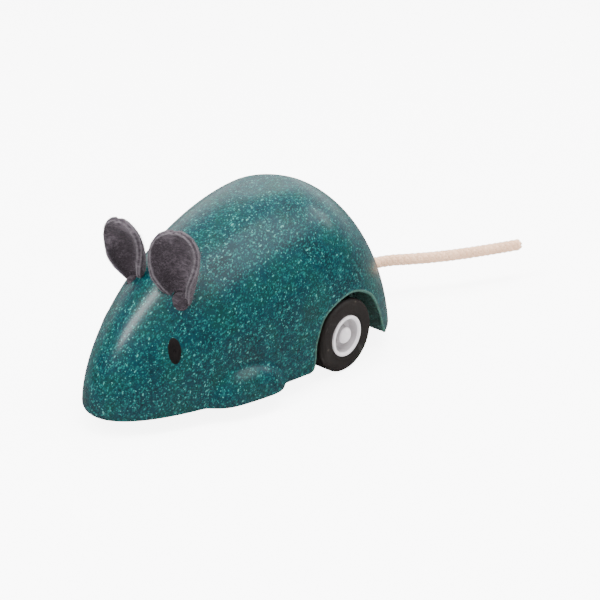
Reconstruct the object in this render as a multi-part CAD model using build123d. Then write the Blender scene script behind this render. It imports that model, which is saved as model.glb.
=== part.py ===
from build123d import *
from math import acos, cos, hypot, pi, radians, sin, sqrt, tan
import os

# Frame: millimetres, nose toward -X, tail toward +X, left side toward -Y, floor at z = 0.

# Body
BODY_LENGTH = 100.0
BODY_WIDTH = 53.0
BODY_HEIGHT = 48.0
CROWN_X = 13.0
WIDEST_X = 24.0
BASE_Z = 3.8
BASE_ROUND = 1.2
NOSE_FULLNESS = 0.7
SECTION_POINTS = 112
SECTION_LEVELS = 30

# Paw swellings low on both sides
PAW_X = -13.5
PAW_LENGTH = 9.2
PAW_HEIGHT = 8.4
PAW_DEPTH = 2.3

# Wheels and axle
WHEEL_RADIUS = 10.0
WHEEL_WIDTH = 8.0
WHEEL_X = 16.0
WHEEL_SINK = 1.2
WHEEL_FACE = BODY_WIDTH / 2 - WHEEL_SINK
RIM_RADIUS = 5.7
RIM_WALL = 0.8
BARREL_STEP = 0.9
BARREL_RADIUS = RIM_RADIUS - BARREL_STEP
DISH_RADIUS = RIM_RADIUS - RIM_WALL
DISH_DEPTH = 2.4
BOSS_RADIUS = 2.2
TYRE_CHAMFER = 0.9
TREAD_GROOVE = 0.35
ARCH_GAP = 2.2
ARCH_DEPTH_GAP = 0.8
AXLE_RADIUS = 1.0

# Fits, all on the radius or on one side
RUNNING_GAP = 0.05
PRESS_GAP = 0.01
POCKET_GAP = 0.3
END_GAP = 0.25

# Gear train
MODULE = 0.5
AXLE_TEETH = 10
MIDDLE_TEETH = 30
MIDDLE_PINION_TEETH = 10
SPRING_TEETH = 40
PRESSURE_ANGLE = radians(20)
TOOTH_THINNING = 0.10
GEAR_WIDTH = 2.0
PINION_GAP = 1.05
SPRING_GEAR_Y = 0.5
MIDDLE_GEAR_Y = 4.0
PIN_RADIUS = 0.75
ARBOR_RADIUS = 1.2
SPRING_BOTTOM_Y = -2.6
SPRING_WIDTH = 6.0
SPRING_STRIP = 0.25
SPRING_TURNS = 9

# Motor case
CASE_WALL = 1.0
CASE_HALF = 10.0
FLANGE_WALL = 1.2
FLANGE_REACH = 5.0
BOSS_WALL = 1.0
SCREW_RADIUS = 0.8
SCREW_HEAD = 1.6
SCREW_HEAD_HEIGHT = 0.9
HEAD_SINK = 0.7
WOOD_SCREW_LENGTH = 6.0
CASE_SCREW_LENGTH = 7.0
BUSH_WALL = 0.8

# Front roller
ROLLER_RADIUS = 5.0
ROLLER_WIDTH = 6.0
BRACKET_WALL = 0.8
BRACKET_HALF_LENGTH = 6.6
BRACKET_HALF_WIDTH = 9.5

# Eyes, ears and tail
EYE_WIDTH = 3.3
EYE_HEIGHT = 6.6
EYE_DEPTH = 3.0
EYE_FROM_NOSE = 15.3
EYE_Z = 20.8
EAR_HEIGHT = 20.5
EAR_WIDTH = 14.0
EAR_THICKNESS = 1.6
EAR_CUP_RADIUS = 9.5
EAR_HOLE_RADIUS = 2.6
EAR_HOLE_DEPTH = 5.0
EAR_FOOT_GAP = 0.6
EAR_FROM_NOSE = 20.8
EAR_LIFT = 0.4
EAR_ROOT_Y = 9.8
TAIL_DIAMETER = 3.0
TAIL_HOLE_DEPTH = 6.0
TAIL_Z = 11.0


def solid_cylinder(radius, start, end):
    """Cylinder between two points."""
    axis = Vector(*end) - Vector(*start)
    plane = Plane(origin=start, z_dir=axis)
    return Solid.make_cylinder(radius, axis.length, plane)


def box_between(low, high):
    """Box from its lowest to its highest corner."""
    size = [high[i] - low[i] for i in range(3)]
    return Pos(*low) * Box(*size, align=(Align.MIN, Align.MIN, Align.MIN))


def side_plane(x, y, z):
    """Plane whose local axes are the row's X and Z and whose normal is -Y."""
    return Plane(origin=(x, y, z), x_dir=(1, 0, 0), z_dir=(0, -1, 0))


def turned_part(profile, x, z):
    """Solid of revolution about a line along Y from (y, radius) corners."""
    face = make_face(Polyline([(radius, y) for y, radius in profile], close=True))
    spun = revolve(face, Axis.Y, 360)
    return Pos(x, 0, z) * spun


# ---------------------------------------------------------------- body


def share(level, height_power, width_power):
    """Share of a reach that is left at a height share from base (0) to crown (1)."""
    return (1 - level**height_power) ** (1 / width_power)


def rounding(z):
    """Inset of the rounded base rim at a height."""
    rise = z - BASE_Z
    if rise >= BASE_ROUND:
        return 0.0
    return BASE_ROUND - sqrt(BASE_ROUND**2 - (BASE_ROUND - rise) ** 2)


def paw(x, z):
    """How far a paw swelling stands out at a place on the side."""
    spread = ((x - PAW_X) / PAW_LENGTH) ** 2 + ((z - BASE_Z) / PAW_HEIGHT) ** 2
    return PAW_DEPTH * (1 - spread**2) ** 2 if spread < 1 else 0.0


def reaches(z):
    """Front and rear reach from the crown, half width, widest place and side power at a height."""
    level = (z - BASE_Z) / (BODY_HEIGHT - BASE_Z)
    inset = rounding(z)
    front = (CROWN_X + BODY_LENGTH / 2) * share(level, 1.87, 1.73)
    front += NOSE_FULLNESS * sin(pi * level) ** 2 - inset
    rear = (BODY_LENGTH / 2 - CROWN_X) * share(level, 1.53, 2.0) - inset
    half = BODY_WIDTH / 2 * share(level, 2.84, 2.07) - inset
    return front, rear, half, WIDEST_X + (CROWN_X - WIDEST_X) * level, 2.09 - 0.35 * level


def head_width(x, z):
    """Half width of the body at a place ahead of its widest one."""
    front, rear, half, middle, power = reaches(z)
    along = min((middle - x) / (middle - CROWN_X + front), 1)
    return half * (1 - along**1.72) ** (1 / power)


def head_height(x, y):
    """Height of the body's surface above a place on the head."""
    low, high = BASE_Z + BASE_ROUND, BODY_HEIGHT
    for step in range(40):
        middle = (low + high) / 2
        if head_width(x, middle) > y:
            low = middle
        else:
            high = middle
    return low


def body_section(z):
    """Closed level outline of the body at a height."""
    front, rear, half, middle, power = reaches(z)
    outline = []
    for index in range(8 * SECTION_POINTS + 1):
        turn = 2 * pi * index / (8 * SECTION_POINTS)
        along, across = cos(turn), sin(turn)
        if along > 0:
            x = middle - (middle - CROWN_X + front) * abs(along) ** (2 / 1.72)
            y = half * abs(across) ** (2 / power)
        else:
            x = middle + (CROWN_X + rear - middle) * abs(along) ** (2 / 1.88)
            y = half * abs(across) ** (2 / 1.82)
        y += paw(x, z) * min(1, abs(across) / 0.05)
        outline.append((x, y if across > 0 else -y))
    points = [(x, y, z) for x, y in evenly_spaced(outline, SECTION_POINTS)]
    steps = [index / SECTION_POINTS for index in range(SECTION_POINTS + 1)]
    return Wire([Edge.make_spline(points, periodic=True, parameters=steps)])


def evenly_spaced(outline, count):
    """Points at equal distances along a closed outline."""
    run = [0.0]
    for before, after in zip(outline, outline[1:]):
        run.append(run[-1] + hypot(after[0] - before[0], after[1] - before[1]))
    points, place = [], 0
    for index in range(count):
        wanted = run[-1] * index / count
        while run[place + 1] < wanted:
            place += 1
        part = (wanted - run[place]) / (run[place + 1] - run[place])
        before, after = outline[place], outline[place + 1]
        points.append((before[0] + (after[0] - before[0]) * part, before[1] + (after[1] - before[1]) * part))
    return points


def body_form():
    """Plain outer form of the body, before anything is cut."""
    rim = [BASE_Z + BASE_ROUND * part for part in (0, 0.08, 0.25, 0.55, 1)]
    rise = BODY_HEIGHT - BASE_Z
    rest = [BASE_Z + rise * sin(pi / 2 * step / SECTION_LEVELS) for step in range(2, SECTION_LEVELS)]
    return Solid.make_loft([body_section(z) for z in rim + rest])


def arch_cut(side):
    """Wheel arch: round over the wheel, wider behind it, open below and outward."""
    reach = WHEEL_RADIUS + ARCH_GAP
    low = BASE_Z - 3
    outline = Spline(
        (WHEEL_X - reach - 1.9, low),
        (WHEEL_X - reach - 0.5, BASE_Z + 2),
        (WHEEL_X - reach + 0.4, WHEEL_RADIUS + 3),
        (WHEEL_X - 0.66 * reach, WHEEL_RADIUS + 0.75 * reach),
        (WHEEL_X + 0.1 * reach, WHEEL_RADIUS + reach),
        (WHEEL_X + 0.75 * reach, WHEEL_RADIUS + 0.75 * reach),
        (WHEEL_X + reach + 1.5, WHEEL_RADIUS + 3.2),
        (WHEEL_X + reach + 5.6, BASE_Z + 1),
        (WHEEL_X + reach + 6.6, low),
    )
    face = make_face(outline + Line(outline @ 1, outline @ 0))
    inner = WHEEL_FACE - WHEEL_WIDTH - ARCH_DEPTH_GAP
    width = BODY_WIDTH / 2 - inner + PAW_DEPTH + 1
    start = side * inner if side < 0 else inner + width
    return extrude(Plane(origin=(0, start, 0), x_dir=(1, 0, 0), z_dir=(0, -1, 0)) * face, width)


# ---------------------------------------------------------------- gears


def involute(angle):
    return tan(angle) - angle


def gear_outline(teeth, phase, addendum):
    """Closed outline of an involute gear with a tooth centred on the phase angle."""
    pitch = MODULE * teeth / 2
    base = pitch * cos(PRESSURE_ANGLE)
    tip = pitch + addendum * MODULE
    root = pitch - 1.25 * MODULE
    half_tooth = pi / (2 * teeth) - TOOTH_THINNING / (2 * pitch)

    def half_angle(radius):
        turn = acos(base / max(radius, base))
        return half_tooth + involute(PRESSURE_ANGLE) - involute(turn)

    foot = max(root, base)
    radii = [foot + (tip - foot) * part for part in (0, 0.35, 0.7, 1)]
    if root < base:
        radii = [root] + radii
    outline = []
    for tooth in range(teeth):
        centre = phase + 2 * pi * tooth / teeth
        flank = [(radius, half_angle(radius)) for radius in radii]
        outline += [(r * cos(centre - a), r * sin(centre - a)) for r, a in flank]
        outline += [(r * cos(centre + a), r * sin(centre + a)) for r, a in reversed(flank)]
    return outline


def gear_disc(centre, teeth, phase, addendum, top_y, width):
    """Toothed disc across the axis through a centre (x, z), from top_y toward -Y."""
    face = make_face(Polyline(gear_outline(teeth, phase, addendum), close=True))
    return extrude(side_plane(centre[0], top_y, centre[1]) * face, width)


def disc(centre, radius, low_y, high_y):
    """Cylinder along Y through a centre (x, z)."""
    x, z = centre
    return solid_cylinder(radius, (x, low_y, z), (x, high_y, z))


def spring_strip(centre):
    """Flat strip wound from the arbor out to the case."""
    inner = ARBOR_RADIUS + 0.25
    outer = MODULE * SPRING_TEETH / 2 - 1.0
    steps = SPRING_TURNS * 12

    def point(step, offset):
        turn = 2 * pi * SPRING_TURNS * step / steps
        radius = inner + (outer - inner) * step / steps + offset
        return radius * cos(turn), radius * sin(turn)

    inside = Spline(*[point(step, 0) for step in range(steps + 1)])
    outside = Spline(*[point(step, SPRING_STRIP) for step in range(steps + 1)])
    ends = [Line(inside @ 0, outside @ 0), Line(inside @ 1, outside @ 1)]
    face = make_face([inside.edge(), outside.edge(), ends[0].edge(), ends[1].edge()])
    return extrude(side_plane(centre[0], SPRING_BOTTOM_Y, centre[1]) * face, SPRING_WIDTH)


# ---------------------------------------------------------------- layout of the motor

AXLE_CENTRE = (WHEEL_X, WHEEL_RADIUS)
FIRST_DISTANCE = MODULE * (AXLE_TEETH + MIDDLE_TEETH) / 2
SECOND_DISTANCE = MODULE * (MIDDLE_PINION_TEETH + SPRING_TEETH) / 2
FIRST_DIRECTION = radians(130)
SECOND_DIRECTION = radians(180)
MIDDLE_CENTRE = (
    AXLE_CENTRE[0] + FIRST_DISTANCE * cos(FIRST_DIRECTION),
    AXLE_CENTRE[1] + FIRST_DISTANCE * sin(FIRST_DIRECTION),
)
SPRING_CENTRE = (
    MIDDLE_CENTRE[0] + SECOND_DISTANCE * cos(SECOND_DIRECTION),
    MIDDLE_CENTRE[1] + SECOND_DISTANCE * sin(SECOND_DIRECTION),
)
SPRING_REACH = MODULE * SPRING_TEETH / 2 + 1.6 + CASE_WALL
CASE_FRONT = SPRING_CENTRE[0] - SPRING_REACH
CASE_REAR = AXLE_CENTRE[0] + MODULE * AXLE_TEETH / 2 + 1.1 + CASE_WALL
CASE_TOP = SPRING_CENTRE[1] + SPRING_REACH
PINION_TIP = MODULE * (AXLE_TEETH / 2 + 0.9)
FLANGE_TOP = WHEEL_RADIUS - PINION_TIP - PINION_GAP
CASE_BOSS = SCREW_RADIUS + BOSS_WALL
BOSS_CENTRES = [
    (CASE_FRONT + CASE_WALL + CASE_BOSS * 0.6, CASE_TOP - CASE_WALL - CASE_BOSS * 0.6),
    (CASE_REAR - CASE_WALL - CASE_BOSS * 0.6, CASE_TOP - CASE_WALL - CASE_BOSS * 0.6),
    (CASE_FRONT + CASE_WALL + CASE_BOSS * 0.6, FLANGE_TOP + CASE_BOSS * 0.6),
]
FLANGE_SCREW_X = [CASE_FRONT - FLANGE_REACH / 2, CASE_REAR + FLANGE_REACH / 2]
ROLLER_X = CASE_FRONT - FLANGE_REACH - 1.5 - BRACKET_HALF_LENGTH
BUSH_RADIUS = AXLE_RADIUS + BUSH_WALL


def shaft_cuts(gap_axle, gap_middle, gap_arbor, low_y, high_y):
    """Holes for the three shafts through a wall of the case."""
    return [
        disc(AXLE_CENTRE, BUSH_RADIUS + gap_axle, low_y, high_y),
        disc(MIDDLE_CENTRE, PIN_RADIUS + gap_middle, low_y, high_y),
        disc(SPRING_CENTRE, ARBOR_RADIUS + gap_arbor, low_y, high_y),
    ]


def motor_case():
    """Moulded case, open on the right, with a fixing flange and screw bosses."""
    inner_y = CASE_HALF - CASE_WALL
    case = box_between((CASE_FRONT, -CASE_HALF, FLANGE_TOP - FLANGE_WALL), (CASE_REAR, inner_y, CASE_TOP))
    flange_low = (CASE_FRONT - FLANGE_REACH, -CASE_HALF, FLANGE_TOP - FLANGE_WALL)
    flange_high = (CASE_REAR + FLANGE_REACH, CASE_HALF - CASE_WALL, FLANGE_TOP)
    case = case + box_between(flange_low, flange_high)
    room_low = (CASE_FRONT + CASE_WALL, -inner_y, FLANGE_TOP)
    room_high = (CASE_REAR - CASE_WALL, CASE_HALF, CASE_TOP - CASE_WALL)
    case = case - box_between(room_low, room_high)
    for centre in BOSS_CENTRES:
        case = case + disc(centre, CASE_BOSS, inner_y - CASE_SCREW_LENGTH - 1, inner_y)
    for centre in BOSS_CENTRES:
        case = case - disc(centre, SCREW_RADIUS + PRESS_GAP, inner_y - CASE_SCREW_LENGTH - 0.5, inner_y + 1)
    for cut in shaft_cuts(PRESS_GAP, PRESS_GAP, RUNNING_GAP, -CASE_HALF - 1, -inner_y + 1):
        case = case - cut
    for x in FLANGE_SCREW_X:
        case = case - solid_cylinder(SCREW_RADIUS + RUNNING_GAP, (x, 0, 0), (x, 0, FLANGE_TOP + 1))
    post = disc((SPRING_CENTRE[0] + MODULE * SPRING_TEETH / 2 + 0.2, SPRING_CENTRE[1]), 0.6, -inner_y, -SPRING_WIDTH)
    return case + post


def motor_cover():
    """Plate that closes the right side of the case."""
    inner_y = CASE_HALF - CASE_WALL
    cover = box_between((CASE_FRONT, inner_y, FLANGE_TOP - FLANGE_WALL), (CASE_REAR, CASE_HALF, CASE_TOP))
    for cut in shaft_cuts(PRESS_GAP, PRESS_GAP, RUNNING_GAP, inner_y - 1, CASE_HALF + 1):
        cover = cover - cut
    for centre in BOSS_CENTRES:
        cover = cover - disc(centre, SCREW_RADIUS + RUNNING_GAP, inner_y - 1, CASE_HALF + 1)
        cover = cover - disc(centre, SCREW_HEAD + RUNNING_GAP, CASE_HALF - HEAD_SINK, CASE_HALF + 1)
    return cover


def screw(origin, direction, length):
    """Pan-head screw with a cross recess, head's seat at the origin, shank along the direction."""
    shank = Solid.make_cylinder(SCREW_RADIUS, length - SCREW_RADIUS)
    point = Solid.make_cone(SCREW_RADIUS, 0.2, SCREW_RADIUS, Plane.XY.offset(length - SCREW_RADIUS))
    head = Pos(0, 0, -SCREW_HEAD_HEIGHT) * Solid.make_cylinder(SCREW_HEAD, SCREW_HEAD_HEIGHT)
    slot = Pos(0, 0, -SCREW_HEAD_HEIGHT) * Box(2 * SCREW_RADIUS, 0.4, SCREW_RADIUS)
    cross = Pos(0, 0, -SCREW_HEAD_HEIGHT) * Box(0.4, 2 * SCREW_RADIUS, SCREW_RADIUS)
    body = shank + point + head - slot - cross
    return Plane(origin=origin, z_dir=direction) * body


def hub(side):
    """Dished hub with a raised rim, a retaining rib and a round-ended boss."""
    face = WHEEL_FACE
    back = WHEEL_FACE - WHEEL_WIDTH + 0.2
    middle = (face + back) / 2
    floor = face - DISH_DEPTH
    profile = [
        (back, AXLE_RADIUS + PRESS_GAP),
        (back, BARREL_RADIUS),
        (middle - 0.9, BARREL_RADIUS),
        (middle - 0.5, BARREL_RADIUS + 0.4),
        (middle + 0.5, BARREL_RADIUS + 0.4),
        (middle + 0.9, BARREL_RADIUS),
        (face - 1.0, BARREL_RADIUS),
        (face - 1.0, RIM_RADIUS),
        (face - 0.25, RIM_RADIUS),
        (face, RIM_RADIUS - 0.3),
        (face, DISH_RADIUS + 0.3),
        (face - 0.3, DISH_RADIUS),
        (floor + 0.5, DISH_RADIUS - 0.25),
        (floor, DISH_RADIUS - 0.8),
        (floor, BOSS_RADIUS + 0.15),
        (face - 0.9, BOSS_RADIUS),
        (face - 0.45, BOSS_RADIUS - 0.2),
        (face - 0.1, BOSS_RADIUS * 0.6),
        (face, 0),
        (face - 1.5, 0),
        (face - 1.5, AXLE_RADIUS + PRESS_GAP),
    ]
    return turned_part([(side * y, radius) for y, radius in profile], *AXLE_CENTRE)


def tyre(side):
    """Rubber tyre with a chamfered outer edge and a tread groove."""
    face = WHEEL_FACE - 0.15
    back = WHEEL_FACE - WHEEL_WIDTH
    middle = (WHEEL_FACE + back + 0.2) / 2
    inner = BARREL_RADIUS + PRESS_GAP
    rim = RIM_RADIUS + PRESS_GAP
    groove = back + 2.0
    profile = [
        (back, inner),
        (back, WHEEL_RADIUS - 0.5),
        (back + 0.5, WHEEL_RADIUS),
        (groove - 0.35, WHEEL_RADIUS),
        (groove, WHEEL_RADIUS - TREAD_GROOVE),
        (groove + 0.35, WHEEL_RADIUS),
        (face - TYRE_CHAMFER, WHEEL_RADIUS),
        (face - 0.25, WHEEL_RADIUS - 0.45),
        (face, WHEEL_RADIUS - TYRE_CHAMFER),
        (face, rim),
        (WHEEL_FACE - 1.0 - PRESS_GAP, rim),
        (WHEEL_FACE - 1.0 - PRESS_GAP, inner),
        (middle + 0.92, inner),
        (middle + 0.52, inner + 0.4),
        (middle - 0.52, inner + 0.4),
        (middle - 0.92, inner),
    ]
    return turned_part([(side * y, radius) for y, radius in profile], *AXLE_CENTRE)


def bush(side):
    """Flanged bearing bush pressed into a wall of the case."""
    outer = CASE_HALF + POCKET_GAP
    inner = CASE_HALF - CASE_WALL
    profile = [
        (inner - 0.6, AXLE_RADIUS + RUNNING_GAP),
        (inner - 0.6, BUSH_RADIUS + 0.7),
        (inner, BUSH_RADIUS + 0.7),
        (inner, BUSH_RADIUS),
        (outer, BUSH_RADIUS),
        (outer, AXLE_RADIUS + RUNNING_GAP),
    ]
    return turned_part([(side * y, radius) for y, radius in profile], *AXLE_CENTRE)


def drive_axle():
    end = WHEEL_FACE - 1.5 - END_GAP
    return disc(AXLE_CENTRE, AXLE_RADIUS, -end, end)


def axle_pinion():
    phase = FIRST_DIRECTION + pi / AXLE_TEETH
    low = MIDDLE_GEAR_Y - GEAR_WIDTH - 0.3
    pinion = gear_disc(AXLE_CENTRE, AXLE_TEETH, phase, 0.9, MIDDLE_GEAR_Y + 0.3, GEAR_WIDTH + 0.6)
    collar = disc(AXLE_CENTRE, AXLE_RADIUS + 0.6, low - 1.2, low)
    return pinion + collar - disc(AXLE_CENTRE, AXLE_RADIUS + PRESS_GAP, -CASE_HALF, CASE_HALF)


def intermediate_gear():
    """Large gear and small pinion moulded as one piece."""
    wheel = gear_disc(MIDDLE_CENTRE, MIDDLE_TEETH, FIRST_DIRECTION + pi, 0.7, MIDDLE_GEAR_Y, GEAR_WIDTH)
    for index in range(5):
        turn = 2 * pi * index / 5
        spot = (MIDDLE_CENTRE[0] + 4.4 * MODULE / 0.5 * cos(turn), MIDDLE_CENTRE[1] + 4.4 * MODULE / 0.5 * sin(turn))
        wheel = wheel - disc(spot, 1.1, 0, CASE_HALF)
    phase = SECOND_DIRECTION + pi / MIDDLE_PINION_TEETH
    low = SPRING_GEAR_Y - GEAR_WIDTH - 0.3
    pinion = gear_disc(MIDDLE_CENTRE, MIDDLE_PINION_TEETH, phase, 0.9, SPRING_GEAR_Y + 0.3, GEAR_WIDTH + 0.6)
    neck = disc(MIDDLE_CENTRE, 1.5, SPRING_GEAR_Y, MIDDLE_GEAR_Y - GEAR_WIDTH)
    ends = disc(MIDDLE_CENTRE, 1.5, -CASE_HALF + CASE_WALL + END_GAP, low)
    ends = ends + disc(MIDDLE_CENTRE, 1.5, MIDDLE_GEAR_Y, CASE_HALF - CASE_WALL - END_GAP)
    gear = wheel + pinion + neck + ends
    return gear - disc(MIDDLE_CENTRE, PIN_RADIUS + RUNNING_GAP, -CASE_HALF, CASE_HALF)


def spring_gear():
    gear = gear_disc(SPRING_CENTRE, SPRING_TEETH, SECOND_DIRECTION + pi, 0.7, SPRING_GEAR_Y, GEAR_WIDTH)
    pitch = MODULE * SPRING_TEETH / 2
    for index in range(6):
        turn = 2 * pi * index / 6
        spot = (SPRING_CENTRE[0] + 0.58 * pitch * cos(turn), SPRING_CENTRE[1] + 0.58 * pitch * sin(turn))
        gear = gear - disc(spot, 1.6, -CASE_HALF, CASE_HALF)
    collar = disc(SPRING_CENTRE, ARBOR_RADIUS + 1.0, SPRING_GEAR_Y, SPRING_GEAR_Y + 3)
    return gear + collar - disc(SPRING_CENTRE, ARBOR_RADIUS + PRESS_GAP, -CASE_HALF, CASE_HALF)


# ---------------------------------------------------------------- front roller


def roller_bracket():
    """Steel plate with two ears that hold the roller's pin."""
    plate_top = BASE_Z + BRACKET_WALL
    slot = ROLLER_WIDTH / 2 + 0.4
    low = (ROLLER_X - BRACKET_HALF_LENGTH, -BRACKET_HALF_WIDTH, BASE_Z)
    high = (ROLLER_X + BRACKET_HALF_LENGTH, BRACKET_HALF_WIDTH, plate_top)
    plate = box_between(low, high)
    plate = fillet(plate.edges().filter_by(Axis.Z), 1.5)
    reach = ROLLER_RADIUS + 0.6
    ears = []
    for side in (-1, 1):
        near, far = sorted((side * slot, side * (slot + BRACKET_WALL)))
        ears.append(box_between((ROLLER_X - 2.4, near, BASE_Z), (ROLLER_X + 2.4, far, ROLLER_RADIUS + 2.2)))
    bracket = plate - box_between((ROLLER_X - reach, -slot, 0), (ROLLER_X + reach, slot, plate_top + 1))
    bracket = bracket + ears[0] + ears[1]
    half = BRACKET_HALF_WIDTH
    bracket = bracket - disc((ROLLER_X, ROLLER_RADIUS), PIN_RADIUS + PRESS_GAP, -half, half)
    for y in bracket_screw_y():
        bracket = bracket - solid_cylinder(SCREW_RADIUS + RUNNING_GAP, (ROLLER_X, y, 0), (ROLLER_X, y, BASE_Z + 3))
    return bracket


def bracket_screw_y():
    inner = ROLLER_WIDTH / 2 + 0.4 + BRACKET_WALL
    middle = (inner + BRACKET_HALF_WIDTH) / 2
    return [-middle, middle]


def front_roller():
    half = ROLLER_WIDTH / 2
    profile = [
        (-half, PIN_RADIUS + RUNNING_GAP),
        (-half, ROLLER_RADIUS - 0.8),
        (-half + 0.8, ROLLER_RADIUS),
        (half - 0.8, ROLLER_RADIUS),
        (half, ROLLER_RADIUS - 0.8),
        (half, PIN_RADIUS + RUNNING_GAP),
    ]
    return turned_part(profile, ROLLER_X, ROLLER_RADIUS)


def roller_pin():
    half = ROLLER_WIDTH / 2 + 0.4 + BRACKET_WALL + 0.2
    return disc((ROLLER_X, ROLLER_RADIUS), PIN_RADIUS, -half, half)


# ---------------------------------------------------------------- eyes, ears, tail

EYE_X = EYE_FROM_NOSE - BODY_LENGTH / 2
EAR_ROOT_X = EAR_FROM_NOSE - BODY_LENGTH / 2


def eye_prism(side, grow):
    """Upright oval prism that runs into the body square to the cheek."""
    outward = Vector(-0.52, side * 0.72, 0.46).normalized()
    inside = eye_place(side) - outward * EYE_DEPTH
    plane = Plane(origin=inside, x_dir=outward.cross(Vector(0, 0, 1)), z_dir=outward)
    oval = plane * Ellipse(EYE_WIDTH / 2 + grow, EYE_HEIGHT / 2 + grow)
    return extrude(oval, EYE_DEPTH + 6)


def eye_place(side):
    """Middle of an eye on the cheek."""
    return Vector(EYE_X, side * head_width(EYE_X, EYE_Z), EYE_Z)


def ear_plane(side):
    """Frame of an ear: local x across, local y up the ear, local z out of its back."""
    up = Vector(-0.17, side * -0.06, 0.98).normalized()
    facing = Vector(-1, side * 0.25, 0)
    back = (facing - up * facing.dot(up)).normalized() * -1
    root = Vector(EAR_ROOT_X, side * EAR_ROOT_Y, head_height(EAR_ROOT_X, EAR_ROOT_Y) + EAR_LIFT)
    return Plane(origin=root, x_dir=up.cross(back), z_dir=back)


def ear(side):
    """Cupped leaf of felt with its pinched foot standing in a round hole."""
    half = EAR_WIDTH / 2
    foot = EAR_HOLE_RADIUS - EAR_FOOT_GAP
    rim = Spline(
        (foot, 0),
        (foot + 0.3, EAR_HEIGHT * 0.11),
        (half * 0.8, EAR_HEIGHT * 0.36),
        (half, EAR_HEIGHT * 0.62),
        (half * 0.62, EAR_HEIGHT * 0.9),
        (0, EAR_HEIGHT),
        (-half * 0.62, EAR_HEIGHT * 0.9),
        (-half, EAR_HEIGHT * 0.62),
        (-half * 0.8, EAR_HEIGHT * 0.36),
        (-foot - 0.3, EAR_HEIGHT * 0.11),
        (-foot, 0),
    )
    stem = Polyline(rim @ 1, (-foot, 0.4 - EAR_HOLE_DEPTH), (foot, 0.4 - EAR_HOLE_DEPTH), rim @ 0)
    leaf = extrude(make_face([rim.edge()] + stem.edges()), 2 * EAR_CUP_RADIUS, both=True)
    axis = Plane(origin=(0, -EAR_HEIGHT, -EAR_CUP_RADIUS + 0.9), x_dir=(1, 0, 0), z_dir=(0, 1, 0))
    outer = Solid.make_cylinder(EAR_CUP_RADIUS, 3 * EAR_HEIGHT, axis)
    inner = Solid.make_cylinder(EAR_CUP_RADIUS - EAR_THICKNESS, 3 * EAR_HEIGHT, axis)
    shell = (outer - inner) & leaf
    front = box_between((-EAR_WIDTH, -EAR_HEIGHT, -EAR_CUP_RADIUS), (EAR_WIDTH, 2 * EAR_HEIGHT, EAR_CUP_RADIUS))
    return ear_plane(side) * (shell & front)


def ear_hole(side):
    plane = ear_plane(side)
    start = plane.from_local_coords((0, -EAR_HOLE_DEPTH, 0))
    end = plane.from_local_coords((0, 8, 0))
    return solid_cylinder(EAR_HOLE_RADIUS, tuple(start), tuple(end))


TAIL_ROUTE = [
    (BODY_LENGTH / 2 - TAIL_HOLE_DEPTH, 0, TAIL_Z),
    (BODY_LENGTH / 2 + 6.5, 0, TAIL_Z),
    (BODY_LENGTH / 2 + 18.5, -10.4, TAIL_Z),
    (BODY_LENGTH / 2 + 31.5, -18.5, TAIL_Z),
    (BODY_LENGTH / 2 + 45.2, -25.0, TAIL_Z),
]


def bend_radii(route):
    """Radius at each inner corner: 0.45 of the shorter run over the half turn's tangent."""
    radii = []
    for before, corner, after in zip(route, route[1:], route[2:]):
        first = Vector(*corner) - Vector(*before)
        second = Vector(*after) - Vector(*corner)
        half_turn = radians(first.get_angle(second)) / 2
        radii.append(0.45 * min(first.length, second.length) / tan(half_turn))
    return radii


def tail_cord():
    radii = bend_radii(TAIL_ROUTE)
    path = FilletPolyline(*TAIL_ROUTE, radius=radii, close=False)
    start = Plane(origin=path @ 0, z_dir=path % 0)
    cord = sweep(start * Circle(TAIL_DIAMETER / 2), path=path)
    print("tail: length", round(path.length, 1), "radii", [round(radius, 1) for radius in radii])
    print("tail: volume over section x length", cord.volume / (pi * TAIL_DIAMETER**2 / 4 * path.length))
    return cord


# ---------------------------------------------------------------- body with its cuts


def body_shell(form):
    pocket_low = (CASE_FRONT - POCKET_GAP, -CASE_HALF - POCKET_GAP, 0)
    pocket_high = (CASE_REAR + POCKET_GAP, CASE_HALF + POCKET_GAP, CASE_TOP + POCKET_GAP)
    body = form - box_between(pocket_low, pocket_high)
    ledge_low = (CASE_FRONT - FLANGE_REACH - POCKET_GAP, -CASE_HALF - POCKET_GAP, 0)
    ledge_high = (CASE_REAR + FLANGE_REACH + POCKET_GAP, CASE_HALF + POCKET_GAP, FLANGE_TOP)
    body = body - box_between(ledge_low, ledge_high)
    for side in (-1, 1):
        body = body - arch_cut(side) - ear_hole(side) - eye_prism(side, PRESS_GAP)
    slot = AXLE_RADIUS + 0.6
    body = body - box_between(
        (WHEEL_X - slot, -BODY_WIDTH / 2, 0), (WHEEL_X + slot, BODY_WIDTH / 2, WHEEL_RADIUS)
    )
    body = body - disc(AXLE_CENTRE, slot, -BODY_WIDTH / 2, BODY_WIDTH / 2)
    for x in FLANGE_SCREW_X:
        body = body - solid_cylinder(
            SCREW_RADIUS + PRESS_GAP, (x, 0, 0), (x, 0, FLANGE_TOP + WOOD_SCREW_LENGTH)
        )
    return body - roller_pocket() - tail_hole()


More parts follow.
